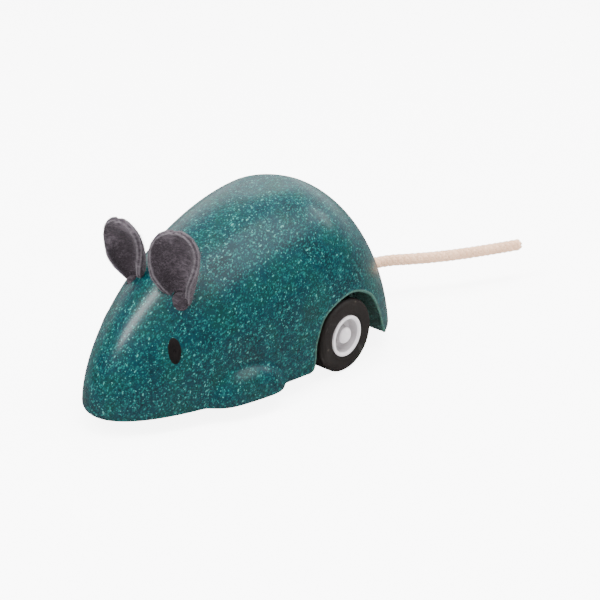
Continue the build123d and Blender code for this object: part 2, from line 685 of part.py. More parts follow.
def roller_pocket():
    """Recess for the bracket's plate and room above it for the roller and the ears."""
    gap = POCKET_GAP
    low = (ROLLER_X - BRACKET_HALF_LENGTH - gap, -BRACKET_HALF_WIDTH - gap, 0)
    high = (ROLLER_X + BRACKET_HALF_LENGTH + gap, BRACKET_HALF_WIDTH + gap, BASE_Z + BRACKET_WALL)
    reach = ROLLER_RADIUS + 0.6
    wide = ROLLER_WIDTH / 2 + 1.4 + BRACKET_WALL
    room_high = (ROLLER_X + reach, wide, 2 * ROLLER_RADIUS + 1.2)
    room = box_between(low, high) + box_between((ROLLER_X - reach, -wide, 0), room_high)
    for y in bracket_screw_y():
        top = BASE_Z + BRACKET_WALL + WOOD_SCREW_LENGTH
        room = room + solid_cylinder(SCREW_RADIUS + PRESS_GAP, (ROLLER_X, y, 0), (ROLLER_X, y, top))
    return room


def tail_hole():
    end = BODY_LENGTH / 2
    return solid_cylinder(TAIL_DIAMETER / 2 + 0.15, (end - TAIL_HOLE_DEPTH, 0, TAIL_Z), (end + 5, 0, TAIL_Z))


def all_nodes():
    form = body_form()
    nodes = {"body_shell": body_shell(form)}
    for side, name in ((-1, "left"), (1, "right")):
        nodes[f"{name}_eye"] = form & eye_prism(side, 0)
        nodes[f"{name}_ear"] = ear(side)
        nodes[f"{name}_hub"] = hub(side)
        nodes[f"{name}_tyre"] = tyre(side)
        nodes[f"{name}_bush"] = bush(side)
    nodes["tail_cord"] = tail_cord()
    nodes["motor_case"] = motor_case()
    nodes["motor_cover"] = motor_cover()
    nodes["mainspring"] = spring_strip(SPRING_CENTRE)
    nodes["spring_gear"] = spring_gear()
    nodes["spring_arbor"] = disc(SPRING_CENTRE, ARBOR_RADIUS, -CASE_HALF, CASE_HALF)
    nodes["intermediate_gear"] = intermediate_gear()
    nodes["intermediate_pin"] = disc(MIDDLE_CENTRE, PIN_RADIUS, -CASE_HALF, CASE_HALF)
    nodes["axle_pinion"] = axle_pinion()
    nodes["drive_axle"] = drive_axle()
    seat = CASE_HALF - HEAD_SINK
    case_screws = [screw((x, seat, z), (0, -1, 0), CASE_SCREW_LENGTH) for x, z in BOSS_CENTRES]
    nodes["case_screws"] = Compound(case_screws)
    under = FLANGE_TOP - FLANGE_WALL
    nodes["motor_screws"] = Compound(
        [screw((x, 0, under), (0, 0, 1), WOOD_SCREW_LENGTH) for x in FLANGE_SCREW_X]
    )
    nodes["roller_bracket"] = roller_bracket()
    nodes["front_roller"] = front_roller()
    nodes["roller_pin"] = roller_pin()
    nodes["bracket_screws"] = Compound(
        [screw((ROLLER_X, y, BASE_Z), (0, 0, 1), WOOD_SCREW_LENGTH) for y in bracket_screw_y()]
    )
    return nodes


def main():
    os.makedirs("parts", exist_ok=True)
    for name, shape in all_nodes().items():
        solids = shape.solids()
        print(name, len(solids), "solid(s)", round(sum(s.volume for s in solids), 2), "mm3")
        export_step(shape, f"parts/{name}.step")


main()
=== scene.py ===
from math import cos, pi, radians, sin, sqrt

import bpy
import bmesh
import numpy as np
from bpy.props import FloatProperty, FloatVectorProperty, IntProperty, PointerProperty
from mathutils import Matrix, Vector


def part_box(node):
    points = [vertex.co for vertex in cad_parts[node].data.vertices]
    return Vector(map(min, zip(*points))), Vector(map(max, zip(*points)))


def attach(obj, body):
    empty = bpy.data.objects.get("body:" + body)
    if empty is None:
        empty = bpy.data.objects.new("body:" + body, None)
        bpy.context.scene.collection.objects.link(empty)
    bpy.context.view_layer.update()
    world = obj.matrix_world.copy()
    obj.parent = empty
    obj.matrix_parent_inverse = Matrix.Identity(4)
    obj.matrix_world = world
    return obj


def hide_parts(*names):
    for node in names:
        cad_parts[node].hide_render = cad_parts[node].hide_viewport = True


bl_info = {
    "name": "Clockwork Mouse",
    "version": (1, 0, 0),
    "blender": (4, 5, 0),
    "location": "3D View > Sidebar > Mouse",
    "description": "Builds the look of a pull-back toy mouse round its CAD frame",
    "category": "Object",
}

MM = 0.001
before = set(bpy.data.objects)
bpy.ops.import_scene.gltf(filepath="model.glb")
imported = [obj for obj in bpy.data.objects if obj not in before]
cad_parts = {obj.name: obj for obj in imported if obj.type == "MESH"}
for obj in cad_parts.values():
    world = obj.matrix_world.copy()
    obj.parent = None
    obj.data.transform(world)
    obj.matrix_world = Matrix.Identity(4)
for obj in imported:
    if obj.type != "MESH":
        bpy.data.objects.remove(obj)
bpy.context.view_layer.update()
BODY_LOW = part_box("body_shell")[0]
TYRE_LOW, TYRE_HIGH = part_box("left_tyre")
HUB_LOW, HUB_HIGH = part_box("left_hub")
SIDES = {"left": -1, "right": 1}


# ------------------------------------------------------------------ settings


def length(name, text, default):
    return FloatProperty(name=name, description=text, default=default, min=0.0, unit="LENGTH", precision=5)


def colour(name, text, default):
    return FloatVectorProperty(
        name=name, description=text, default=default, size=3, subtype="COLOR", min=0.0, max=1.0
    )


class MOUSE_PG_body(bpy.types.PropertyGroup):
    length: length("Length", "Body length from nose to rump", 100 * MM)
    width: length("Width", "Widest part of the body without the paws", 53 * MM)
    height: length("Height", "Crown above the floor", 48 * MM)
    rim_round: length("Rim rounding", "Radius of the rounded lower rim", 1.5 * MM)
    paw_depth: length("Paw depth", "How far a paw swelling stands out", 3.3 * MM)
    columns: IntProperty(name="Columns", description="Mesh columns round the body", default=240, min=32)
    rows: IntProperty(name="Rows", description="Mesh rows from rim to crown", default=84, min=16)
    base: colour("Resin", "Dyed resin between the fibres", (0.0005, 0.028, 0.038))
    light: colour("Light fibres", "Brightest fibres", (0.06, 0.25, 0.22))


class MOUSE_PG_ears(bpy.types.PropertyGroup):
    width: length("Width", "Flat width of the felt leaf", 17 * MM)
    height: length("Height", "Height of the leaf above its hole", 16.9 * MM)
    thickness: length("Thickness", "Thickness of the felt", 1.7 * MM)
    fibres: IntProperty(name="Fibres", description="Loose fibres on each ear", default=2600, min=0)
    felt: colour("Felt", "Wool felt", (0.034, 0.027, 0.033))


class MOUSE_PG_tail(bpy.types.PropertyGroup):
    diameter: length("Diameter", "Diameter of the braided cord", 3.0 * MM)
    carriers: IntProperty(name="Carriers", description="Yarns that run each way round", default=6, min=4)
    pitch: length("Pitch", "Length of one turn of a yarn", 5.6 * MM)
    cotton: colour("Cotton", "Undyed cotton yarn", (0.80, 0.50, 0.32))


class MOUSE_PG_wheels(bpy.types.PropertyGroup):
    chamfer: length("Chamfer", "Chamfer of the tyre's outer edge", 0.6 * MM)
    rubber: colour("Rubber", "Tyre rubber", (0.0125, 0.0085, 0.0070))
    plastic: colour("Plastic", "Hub plastic", (0.70, 0.66, 0.68))


class MOUSE_PG_stage(bpy.types.PropertyGroup):
    azimuth: FloatProperty(
        name="Azimuth", description="Camera angle round the mouse", default=radians(-48.65), subtype="ANGLE"
    )
    elevation: FloatProperty(
        name="Elevation", description="Camera angle above the floor", default=radians(24.635), subtype="ANGLE"
    )
    distance: length("Distance", "Camera from its target", 400 * MM)
    lens: FloatProperty(name="Lens", description="Focal length in millimetres", default=92.83, min=10.0)
    target: FloatVectorProperty(
        name="Target", description="Point in the middle of the view", size=3, subtype="XYZ",
        default=(9.414 * MM, -14.581 * MM, 19.404 * MM),
    )


# ------------------------------------------------------------------ mesh helpers


def new_piece(name, verts, faces, body, material=None, smooth=True):
    """Mesh object from points in metres that rides on a CAD body."""
    mesh = bpy.data.meshes.new(name)
    mesh.from_pydata([tuple(v) for v in verts], [], faces)
    mesh.validate()
    if not mesh.polygons:
        raise RuntimeError(f"{name} came out with no faces")
    if smooth:
        mesh.polygons.foreach_set("use_smooth", [True] * len(mesh.polygons))
    obj = bpy.data.objects.new(name, mesh)
    bpy.context.scene.collection.objects.link(obj)
    if material:
        mesh.materials.append(material)
    if body:
        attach(obj, body)
    return obj


def stand_for(cad_node):
    """Hides a CAD node that a built piece stands in for."""
    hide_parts(cad_node)


def grid_faces(rows, columns, close_columns=True, offset=0):
    faces = []
    last = columns if close_columns else columns - 1
    for row in range(rows - 1):
        for column in range(last):
            right = (column + 1) % columns
            a = offset + row * columns + column
            b = offset + row * columns + right
            faces.append((a, b, b + columns, a + columns))
    return faces


def apply_modifiers(obj):
    """Turns an object's modifiers into its mesh."""
    view = bpy.context.view_layer
    view.update()
    evaluated = obj.evaluated_get(bpy.context.evaluated_depsgraph_get())
    mesh = bpy.data.meshes.new_from_object(evaluated)
    old = obj.data
    obj.modifiers.clear()
    obj.data = mesh
    bpy.data.meshes.remove(old)
    return obj


def rounded_profile(corners, steps=5):
    """Points along a polyline whose corners (along, radius, rounding) are rounded off."""
    points = []
    for index, (u, v, rounding) in enumerate(corners):
        inner = 0 < index < len(corners) - 1
        if not inner or rounding == 0:
            points.append((u, v))
            continue
        corner = Vector((u, v))
        before = Vector(corners[index - 1][:2]) - corner
        after = Vector(corners[index + 1][:2]) - corner
        half = before.angle(after) / 2
        setback = min(rounding / max(sin(half) / cos(half), 1e-6), 0.49 * before.length, 0.49 * after.length)
        start = corner + before.normalized() * setback
        end = corner + after.normalized() * setback
        for step in range(steps + 1):
            t = step / steps
            point = start * (1 - t) ** 2 + corner * 2 * t * (1 - t) + end * t**2
            points.append(tuple(point))
    return points


def lathe(name, profile, centre, side, body, material, segments=144, closed=True):
    """Turned piece about a line along Y from (distance from the inner face, radius) points."""
    verts = []
    for y, radius in profile:
        for index in range(segments):
            turn = 2 * pi * index / segments
            verts.append((centre[0] + radius * cos(turn), side * y, centre[1] + radius * sin(turn)))
    faces = grid_faces(len(profile), segments)
    if closed:
        top = (len(profile) - 1) * segments
        faces += [(top + i, top + (i + 1) % segments, (i + 1) % segments, i) for i in range(segments)]
    if side < 0:
        faces = [tuple(reversed(f)) for f in faces]
    return new_piece(name, verts, faces, body, material)


def fix_normals(obj, sharp=radians(40), join=None):
    """Outward faces, smooth shading, sharp edges by angle; joins points nearer than a distance."""
    work = bmesh.new()
    work.from_mesh(obj.data)
    if join:
        bmesh.ops.remove_doubles(work, verts=work.verts, dist=join)
    bmesh.ops.recalc_face_normals(work, faces=work.faces)
    work.to_mesh(obj.data)
    work.free()
    obj.data.polygons.foreach_set("use_smooth", [True] * len(obj.data.polygons))
    obj.data.set_sharp_from_angle(angle=sharp)


# ------------------------------------------------------------------ shader helpers


def material(name):
    mat = bpy.data.materials.new(name)
    mat.use_nodes = True
    tree = mat.node_tree
    tree.nodes.clear()
    out = tree.nodes.new("ShaderNodeOutputMaterial")
    shader = tree.nodes.new("ShaderNodeBsdfPrincipled")
    tree.links.new(shader.outputs["BSDF"], out.inputs["Surface"])
    return mat, tree, shader


def node(tree, kind, settings=None, **inputs):
    """Adds a node; settings are its own values, inputs are numbers or sockets to link."""
    made = tree.nodes.new(kind)
    for key, value in (settings or {}).items():
        setattr(made, key, value)
    for key, value in inputs.items():
        socket = made.inputs[int(key[1:])] if key[0] == "_" else made.inputs[key.replace("_", " ")]
        if isinstance(value, bpy.types.NodeSocket):
            tree.links.new(value, socket)
        else:
            socket.default_value = value
    return made


def tint(paint, factor):
    """A colour with every channel scaled, never past white."""
    return tuple(min(channel * factor, 1.0) for channel in paint)


def math(tree, operation, first, second=0.0, clamp=False):
    made = node(tree, "ShaderNodeMath", {"operation": operation, "use_clamp": clamp}, _0=first, _1=second)
    return made.outputs[0]


def vector_math(tree, operation, **inputs):
    return node(tree, "ShaderNodeVectorMath", {"operation": operation}, **inputs).outputs[0]


def mix(tree, factor, first, second, blend="MIX"):
    made = tree.nodes.new("ShaderNodeMix")
    made.data_type = "RGBA"
    made.blend_type = blend
    for index, value in ((0, factor), (6, first), (7, second)):
        if isinstance(value, bpy.types.NodeSocket):
            tree.links.new(value, made.inputs[index])
        elif index == 0:
            made.inputs[index].default_value = value
        else:
            made.inputs[index].default_value = (*value, 1.0)
    return made.outputs[2]


def ramp(tree, factor, stops):
    made = tree.nodes.new("ShaderNodeValToRGB")
    tree.links.new(factor, made.inputs[0])
    elements = made.color_ramp.elements
    while len(elements) < len(stops):
        elements.new(0.5)
    for element, (place, value) in zip(elements, stops):
        element.position = place
        element.color = (*value, 1.0) if hasattr(value, "__len__") else (value, value, value, 1.0)
    return made.outputs[0]


def noise(tree, where, scale, detail, distortion=0.0):
    inputs = {"Vector": where, "Scale": scale, "Detail": detail, "Distortion": distortion}
    return node(tree, "ShaderNodeTexNoise", None, **inputs).outputs[0]


def remap(tree, value, low, high, out_low=0.0, out_high=1.0, kind="SMOOTHSTEP"):
    made = node(tree, "ShaderNodeMapRange", {"interpolation_type": kind}, Value=value)
    for key, number in (("From Min", low), ("From Max", high), ("To Min", out_low), ("To Max", out_high)):
        made.inputs[key].default_value = number
    return made.outputs[0]


def bump(tree, shader, height, distance, strength=1.0, normal=None):
    made = node(tree, "ShaderNodeBump", None, Height=height, Distance=distance, Strength=strength)
    if normal is not None:
        tree.links.new(normal, made.inputs["Normal"])
    tree.links.new(made.outputs[0], shader.inputs["Normal"])
    return made.outputs[0]


def group_tree(name, inputs, outputs):
    """New node group with float inputs {name: default} and outputs {name: kind}."""
    tree = bpy.data.node_groups.new(name, "ShaderNodeTree")
    for key, value in inputs.items():
        kind = "NodeSocketVector" if hasattr(value, "__len__") else "NodeSocketFloat"
        tree.interface.new_socket(name=key, in_out="INPUT", socket_type=kind).default_value = value
    for key, kind in outputs.items():
        tree.interface.new_socket(name=key, in_out="OUTPUT", socket_type=kind)
    return tree, tree.nodes.new("NodeGroupInput").outputs, tree.nodes.new("NodeGroupOutput").inputs


def use_group(tree, name, **inputs):
    made = tree.nodes.new("ShaderNodeGroup")
    made.node_tree = bpy.data.node_groups[name]
    for key, value in inputs.items():
        socket = made.inputs[key.replace("_", " ")]
        if isinstance(value, bpy.types.NodeSocket):
            tree.links.new(value, socket)
        else:
            socket.default_value = value
    return made.outputs


def object_coordinates(tree):
    return tree.nodes.new("ShaderNodeTexCoord").outputs["Object"]


def group_flecks():
    """Short fibre chips that lie one way: a mask, a tone for each chip and a height."""
    tree, given, out = group_tree(
        "Fibre flecks",
        {"Vector": (0, 0, 0), "Turn": (0, 0, 0), "Size": 0.6, "Stretch": 2.0, "Share": 0.5},
        {"Mask": "NodeSocketFloat", "Tone": "NodeSocketFloat", "Height": "NodeSocketFloat"},
    )
    cells = math(tree, "DIVIDE", 1000.0, given["Size"])
    long_cells = math(tree, "DIVIDE", cells, given["Stretch"])
    scale = node(tree, "ShaderNodeCombineXYZ", None, X=long_cells, Y=cells, Z=cells).outputs[0]
    turned = node(tree, "ShaderNodeMapping", None, Vector=given["Vector"], Rotation=given["Turn"]).outputs[0]
    warp = node(tree, "ShaderNodeTexNoise", None, Vector=turned, Scale=900.0, Detail=1.0)
    shift = vector_math(tree, "SCALE", _0=warp.outputs["Color"], Scale=0.00035)
    placed = vector_math(tree, "MULTIPLY", _0=vector_math(tree, "ADD", _0=turned, _1=shift), _1=scale)
    cell = node(tree, "ShaderNodeTexVoronoi", {"feature": "F1"}, Vector=placed, Scale=1.0)
    parts = node(tree, "ShaderNodeSeparateColor", None, Color=cell.outputs["Color"]).outputs
    chosen = math(tree, "LESS_THAN", parts[0], given["Share"])
    near = remap(tree, cell.outputs["Distance"], 0.48, 0.30)
    mask = math(tree, "MULTIPLY", near, chosen)
    tree.links.new(mask, out["Mask"])
    tree.links.new(parts[1], out["Tone"])
    tree.links.new(math(tree, "MULTIPLY", mask, parts[2]), out["Height"])


def group_grain():
    """Fine irregular grain in a moulded or rubbed surface: a value and a height."""
    tree, given, out = group_tree(
        "Surface grain",
        {"Vector": (0, 0, 0), "Scale": 1500.0, "Spread": 0.5},
        {"Value": "NodeSocketFloat", "Height": "NodeSocketFloat"},
    )
    fine = noise(tree, given["Vector"], given["Scale"], 4.0)
    wide = noise(tree, given["Vector"], math(tree, "MULTIPLY", given["Scale"], 0.08), 3.0)
    fine_part = math(tree, "MULTIPLY", fine, given["Spread"])
    wide_part = math(tree, "MULTIPLY", wide, math(tree, "SUBTRACT", 1.0, given["Spread"]))
    tree.links.new(math(tree, "ADD", fine_part, wide_part), out["Value"])
    tree.links.new(fine, out["Height"])


def group_curvature_masks():
    """Crests and hollows: masks from the shape's own curvature, broken up by noise."""
    tree, given, out = group_tree(
        "Curvature masks",
        {"Vector": (0, 0, 0), "Amount": 0.5},
        {"Crests": "NodeSocketFloat", "Hollows": "NodeSocketFloat"},
    )
    point = node(tree, "ShaderNodeNewGeometry").outputs["Pointiness"]
    broken = noise(tree, given["Vector"], 700.0, 4.0)
    edge = remap(tree, point, 0.52, 0.60)
    hollow = remap(tree, point, 0.49, 0.42)
    for name, value in (("Crests", edge), ("Hollows", hollow)):
        patchy = math(tree, "MULTIPLY", value, remap(tree, broken, 0.35, 0.65))
        tree.links.new(math(tree, "MULTIPLY", patchy, given["Amount"]), out[name])


def group_fibres():
    """Matted fibres: two crossed streak patterns, a shade and a height."""
    tree, given, out = group_tree(
        "Matted fibres",
        {"Vector": (0, 0, 0), "Scale": 1200.0},
        {"Shade": "NodeSocketFloat", "Height": "NodeSocketFloat"},
    )
    layers = []
    for index, turn in enumerate(((0.3, 0.2, 0.9), (1.3, 0.7, -0.4), (-0.6, 1.1, 2.0))):
        placed = node(
            tree, "ShaderNodeMapping", None, Vector=given["Vector"], Rotation=turn,
            Scale=(1.0, 0.22, 1.0), Location=(index * 0.013, 0.0, 0.0),
        ).outputs[0]
        layers.append(noise(tree, placed, given["Scale"], 3.0, 1.2))
    sum_two = math(tree, "MAXIMUM", layers[0], layers[1])
    height = math(tree, "MAXIMUM", sum_two, layers[2])
    cloud = noise(tree, given["Vector"], 160.0, 2.0)
    shade = math(tree, "ADD", math(tree, "MULTIPLY", height, 0.65), math(tree, "MULTIPLY", cloud, 0.35))
    tree.links.new(shade, out["Shade"])
    tree.links.new(height, out["Height"])


def make_groups():
    group_flecks()
    group_grain()
    group_curvature_masks()
    group_fibres()


FLECK_LAYERS = (
    ((0.2, 0.3, 0.1), 0.60, 2.2, 0.60),
    ((1.2, 0.5, 1.1), 0.48, 2.4, 0.60),
    ((0.7, 1.4, 2.1), 0.40, 2.0, 0.60),
    ((2.0, 0.1, 0.6), 0.32, 2.2, 0.60),
)


def rough_between(tree, shader, grain, low, high):
    """Roughness that wanders between two values with a grain."""
    tree.links.new(remap(tree, grain["Value"], 0.3, 0.7, low, high), shader.inputs["Roughness"])


def composite(name, varnished, pale=0.0):
    """Dyed wood fibre composite, full of short chips; varnished outside, raw and pale where it is cut, that
    paleness partly the raw fibre's own colour and partly painted light against the shade in the cuts.
    """
    settings = bpy.context.scene.mouse_body
    mat, tree, shader = material(name)
    where = object_coordinates(tree)
    cloud = noise(tree, where, 130.0, 3.0)
    base = tuple(settings.base)
    dark = tint(base, 0.55)
    green = (base[0] * 1.6, base[1] * 1.2, base[2] * 0.8)
    paint = ramp(tree, cloud, ((0.30, dark), (0.48, base), (0.62, green), (0.75, base)))
    light = tuple(settings.light)
    height = None
    for turn, size, stretch, part in FLECK_LAYERS:
        chips = use_group(tree, "Fibre flecks", Vector=where, Turn=turn, Size=size, Stretch=stretch, Share=part)
        tone = ramp(
            tree,
            chips["Tone"],
            (
                (0.00, tint(base, 0.35)),
                (0.30, tint(base, 0.9)),
                (0.58, (0.0014, 0.058, 0.064)),
                (0.78, (0.0030, 0.095, 0.085)),
                (0.92, (0.008, 0.155, 0.14)),
                (0.98, light),
            ),
        )
        paint = mix(tree, math(tree, "MULTIPLY", chips["Mask"], 0.85), paint, tone)
        height = chips["Height"] if height is None else math(tree, "MAXIMUM", height, chips["Height"])
    smudge = noise(tree, where, 75.0, 4.0)
    paint = mix(tree, remap(tree, smudge, 0.55, 0.75, 0.0, 0.35), paint, (0.010, 0.022, 0.023))
    shape_masks = use_group(tree, "Curvature masks", Vector=where, Amount=0.5)
    paint = mix(tree, shape_masks["Crests"], paint, light)
    # Pale mix: on cut faces partly the raw colour and partly painted light; on the arch lips a painted highlight.
    if pale:
        paint = mix(tree, pale, paint, (0.075, 0.13, 0.09))
    tree.links.new(paint, shader.inputs["Base Color"])
    grain = use_group(tree, "Surface grain", Vector=where, Scale=2600.0, Spread=0.5)
    if varnished:
        shader.inputs["Coat Weight"].default_value = 0.42
        shader.inputs["Coat Roughness"].default_value = 0.25
        shader.inputs["Specular IOR Level"].default_value = 0.12
        rough_between(tree, shader, grain, 0.34, 0.50)
        relief = math(tree, "ADD", height, math(tree, "MULTIPLY", grain["Height"], 0.5))
        bump(tree, shader, relief, 0.00009, 0.7)
    else:
        rough_between(tree, shader, grain, 0.6, 0.85)
        relief = math(tree, "ADD", height, grain["Height"])
        bump(tree, shader, relief, 0.0003, 0.8)
    return mat


def eye_finish():
    mat, tree, shader = material("eye_stain")
    where = object_coordinates(tree)
    grain = use_group(tree, "Surface grain", Vector=where, Scale=2400.0, Spread=0.6)
    paint = ramp(tree, grain["Value"], ((0.35, (0.0025, 0.0018, 0.0018)), (0.65, (0.007, 0.005, 0.005))))
    tree.links.new(paint, shader.inputs["Base Color"])
    rough_between(tree, shader, grain, 0.6, 0.8)
    shader.inputs["Specular IOR Level"].default_value = 0.15
    bump(tree, shader, grain["Height"], 0.00005, 0.5)
    return mat


def felt_finish(name, highlight_share):
    """Charcoal wool felt with painted highlights on its crests and cut rims; the second argument lightens all of
    it, a painted highlight for the loose fibres.
    """
    settings = bpy.context.scene.mouse_ears
    mat, tree, shader = material(name)
    where = object_coordinates(tree)
    fibres = use_group(tree, "Matted fibres", Vector=where, Scale=1500.0)
    felt = tuple(settings.felt)
    deep = tint(felt, 0.45)
    pale = tuple(min(channel * 2.6 + 0.02, 1.0) for channel in felt)
    paint = ramp(tree, fibres["Shade"], ((0.38, deep), (0.55, felt), (0.72, pale)))
    # Painted highlight: the felt's crests, found from curvature, are mixed towards a paler grey.
    shape_masks = use_group(tree, "Curvature masks", Vector=where, Amount=0.55)
    paint = mix(tree, shape_masks["Crests"], paint, (0.09, 0.08, 0.09))
    # Painted highlight along the cut rims of the leaf, strongest where a rim meets the faces and broken up by the
    # fibres.
    rim = node(tree, "ShaderNodeAttribute", {"attribute_name": "rim"}).outputs["Fac"]
    face = node(tree, "ShaderNodeAttribute", {"attribute_name": "face"}).outputs["Fac"]
    corner = math(tree, "MULTIPLY", rim, math(tree, "POWER", math(tree, "ABSOLUTE", face), 3.0))
    rim_highlight = math(tree, "MULTIPLY", corner, remap(tree, fibres["Height"], 0.4, 0.65, 0.25, 0.75))
    paint = mix(tree, rim_highlight, paint, (0.11, 0.10, 0.11))
    if highlight_share:
        paint = mix(tree, highlight_share, paint, (0.20, 0.18, 0.20))
    tree.links.new(paint, shader.inputs["Base Color"])
    shader.inputs["Roughness"].default_value = 0.95
    shader.inputs["Specular IOR Level"].default_value = 0.15
    shader.inputs["Sheen Weight"].default_value = 0.12
    shader.inputs["Sheen Roughness"].default_value = 0.45
    shader.inputs["Sheen Tint"].default_value = (0.75, 0.68, 0.75, 1.0)
    bump(tree, shader, fibres["Height"], 0.00022, 0.8)
    return mat


def cotton_finish(name, strength):
    settings = bpy.context.scene.mouse_tail
    mat, tree, shader = material(name)
    where = object_coordinates(tree)
    fibres = use_group(tree, "Matted fibres", Vector=where, Scale=2600.0)
    cotton = tint(settings.cotton, strength)
    shade = tint(cotton, 0.68)
    pale = (min(cotton[0] * 1.12, 1), min(cotton[1] * 1.2, 1), min(cotton[2] * 1.3, 1))
    paint = ramp(tree, fibres["Shade"], ((0.38, shade), (0.55, cotton), (0.70, pale)))
    shape_masks = use_group(tree, "Curvature masks", Vector=where, Amount=0.6)
    # Darker in the hollows between the yarns.
    paint = mix(tree, shape_masks["Hollows"], paint, tint(cotton, 0.5))
    tree.links.new(paint, shader.inputs["Base Color"])
    shader.inputs["Roughness"].default_value = 0.9
    shader.inputs["Specular IOR Level"].default_value = 0.25
    shader.inputs["Sheen Weight"].default_value = 0.35
    shader.inputs["Sheen Roughness"].default_value = 0.5
    bump(tree, shader, fibres["Height"], 0.00012, 0.7)
    return mat


def rubber_finish():
    settings = bpy.context.scene.mouse_wheels
    mat, tree, shader = material("tyre_rubber")
    where = object_coordinates(tree)
    grain = use_group(tree, "Surface grain", Vector=where, Scale=1800.0, Spread=0.4)
    rubber = tuple(settings.rubber)
    pale = tint(rubber, 1.5)
    paint = ramp(tree, grain["Value"], ((0.35, tint(rubber, 0.75)), (0.52, rubber), (0.68, pale)))
    shape_masks = use_group(tree, "Curvature masks", Vector=where, Amount=0.5)
    paint = mix(tree, shape_masks["Crests"], paint, (0.04, 0.034, 0.032))
    specks = use_group(tree, "Fibre flecks", Vector=where, Size=0.9, Stretch=1.2, Share=0.03)
    paint = mix(tree, math(tree, "MULTIPLY", specks["Mask"], 0.35), paint, (0.08, 0.07, 0.05))
    tree.links.new(paint, shader.inputs["Base Color"])
    rough_between(tree, shader, grain, 0.55, 0.75)
    shader.inputs["Specular IOR Level"].default_value = 0.4
    bump(tree, shader, grain["Height"], 0.00005, 0.6)
    return mat


def plastic_finish(name, paint, rough, grain_scale=1600.0, depth=0.00003):
    """Moulded plastic with a fine spark-eroded grain, lighter on crests and darker in hollows."""
    mat, tree, shader = material(name)
    where = object_coordinates(tree)
    grain = use_group(tree, "Surface grain", Vector=where, Scale=grain_scale, Spread=0.4)
    low = tint(paint, 0.88)
    high = tint(paint, 1.08)
    tone = ramp(tree, grain["Value"], ((0.35, low), (0.5, paint), (0.65, high)))
    shape_masks = use_group(tree, "Curvature masks", Vector=where, Amount=0.4)
    tone = mix(tree, shape_masks["Crests"], tone, high)
    tone = mix(tree, shape_masks["Hollows"], tone, tint(paint, 0.6))
    tree.links.new(tone, shader.inputs["Base Color"])
    rough_between(tree, shader, grain, rough * 0.8, rough * 1.2)
    bump(tree, shader, grain["Height"], depth, 0.5)
    return mat


def metal_finish(name, paint, rough, along=(1.0, 0.06, 1.0)):
    """Drawn or turned metal with fine lines one way and small dull spots."""
    mat, tree, shader = material(name)
    where = object_coordinates(tree)
    lined = node(tree, "ShaderNodeMapping", None, Vector=where, Scale=along).outputs[0]
    lines = use_group(tree, "Surface grain", Vector=lined, Scale=3200.0, Spread=0.7)
    spots = use_group(tree, "Surface grain", Vector=where, Scale=700.0, Spread=0.5)
    dull = tint(paint, 0.6)
    tone = mix(tree, remap(tree, spots["Value"], 0.5, 0.7, 0.0, 0.5), paint, dull)
    tree.links.new(tone, shader.inputs["Base Color"])
    shader.inputs["Metallic"].default_value = 1.0
    rough_between(tree, shader, lines, rough * 0.7, rough * 1.3)
    bump(tree, shader, lines["Height"], 0.00002, 0.5)
    return mat


# ------------------------------------------------------------------ body shape


def share(level, height_power, width_power):
    """Share of a reach left at a height share from base (0) to crown (1)."""
    return np.maximum(1 - level**height_power, 0) ** (1 / width_power)


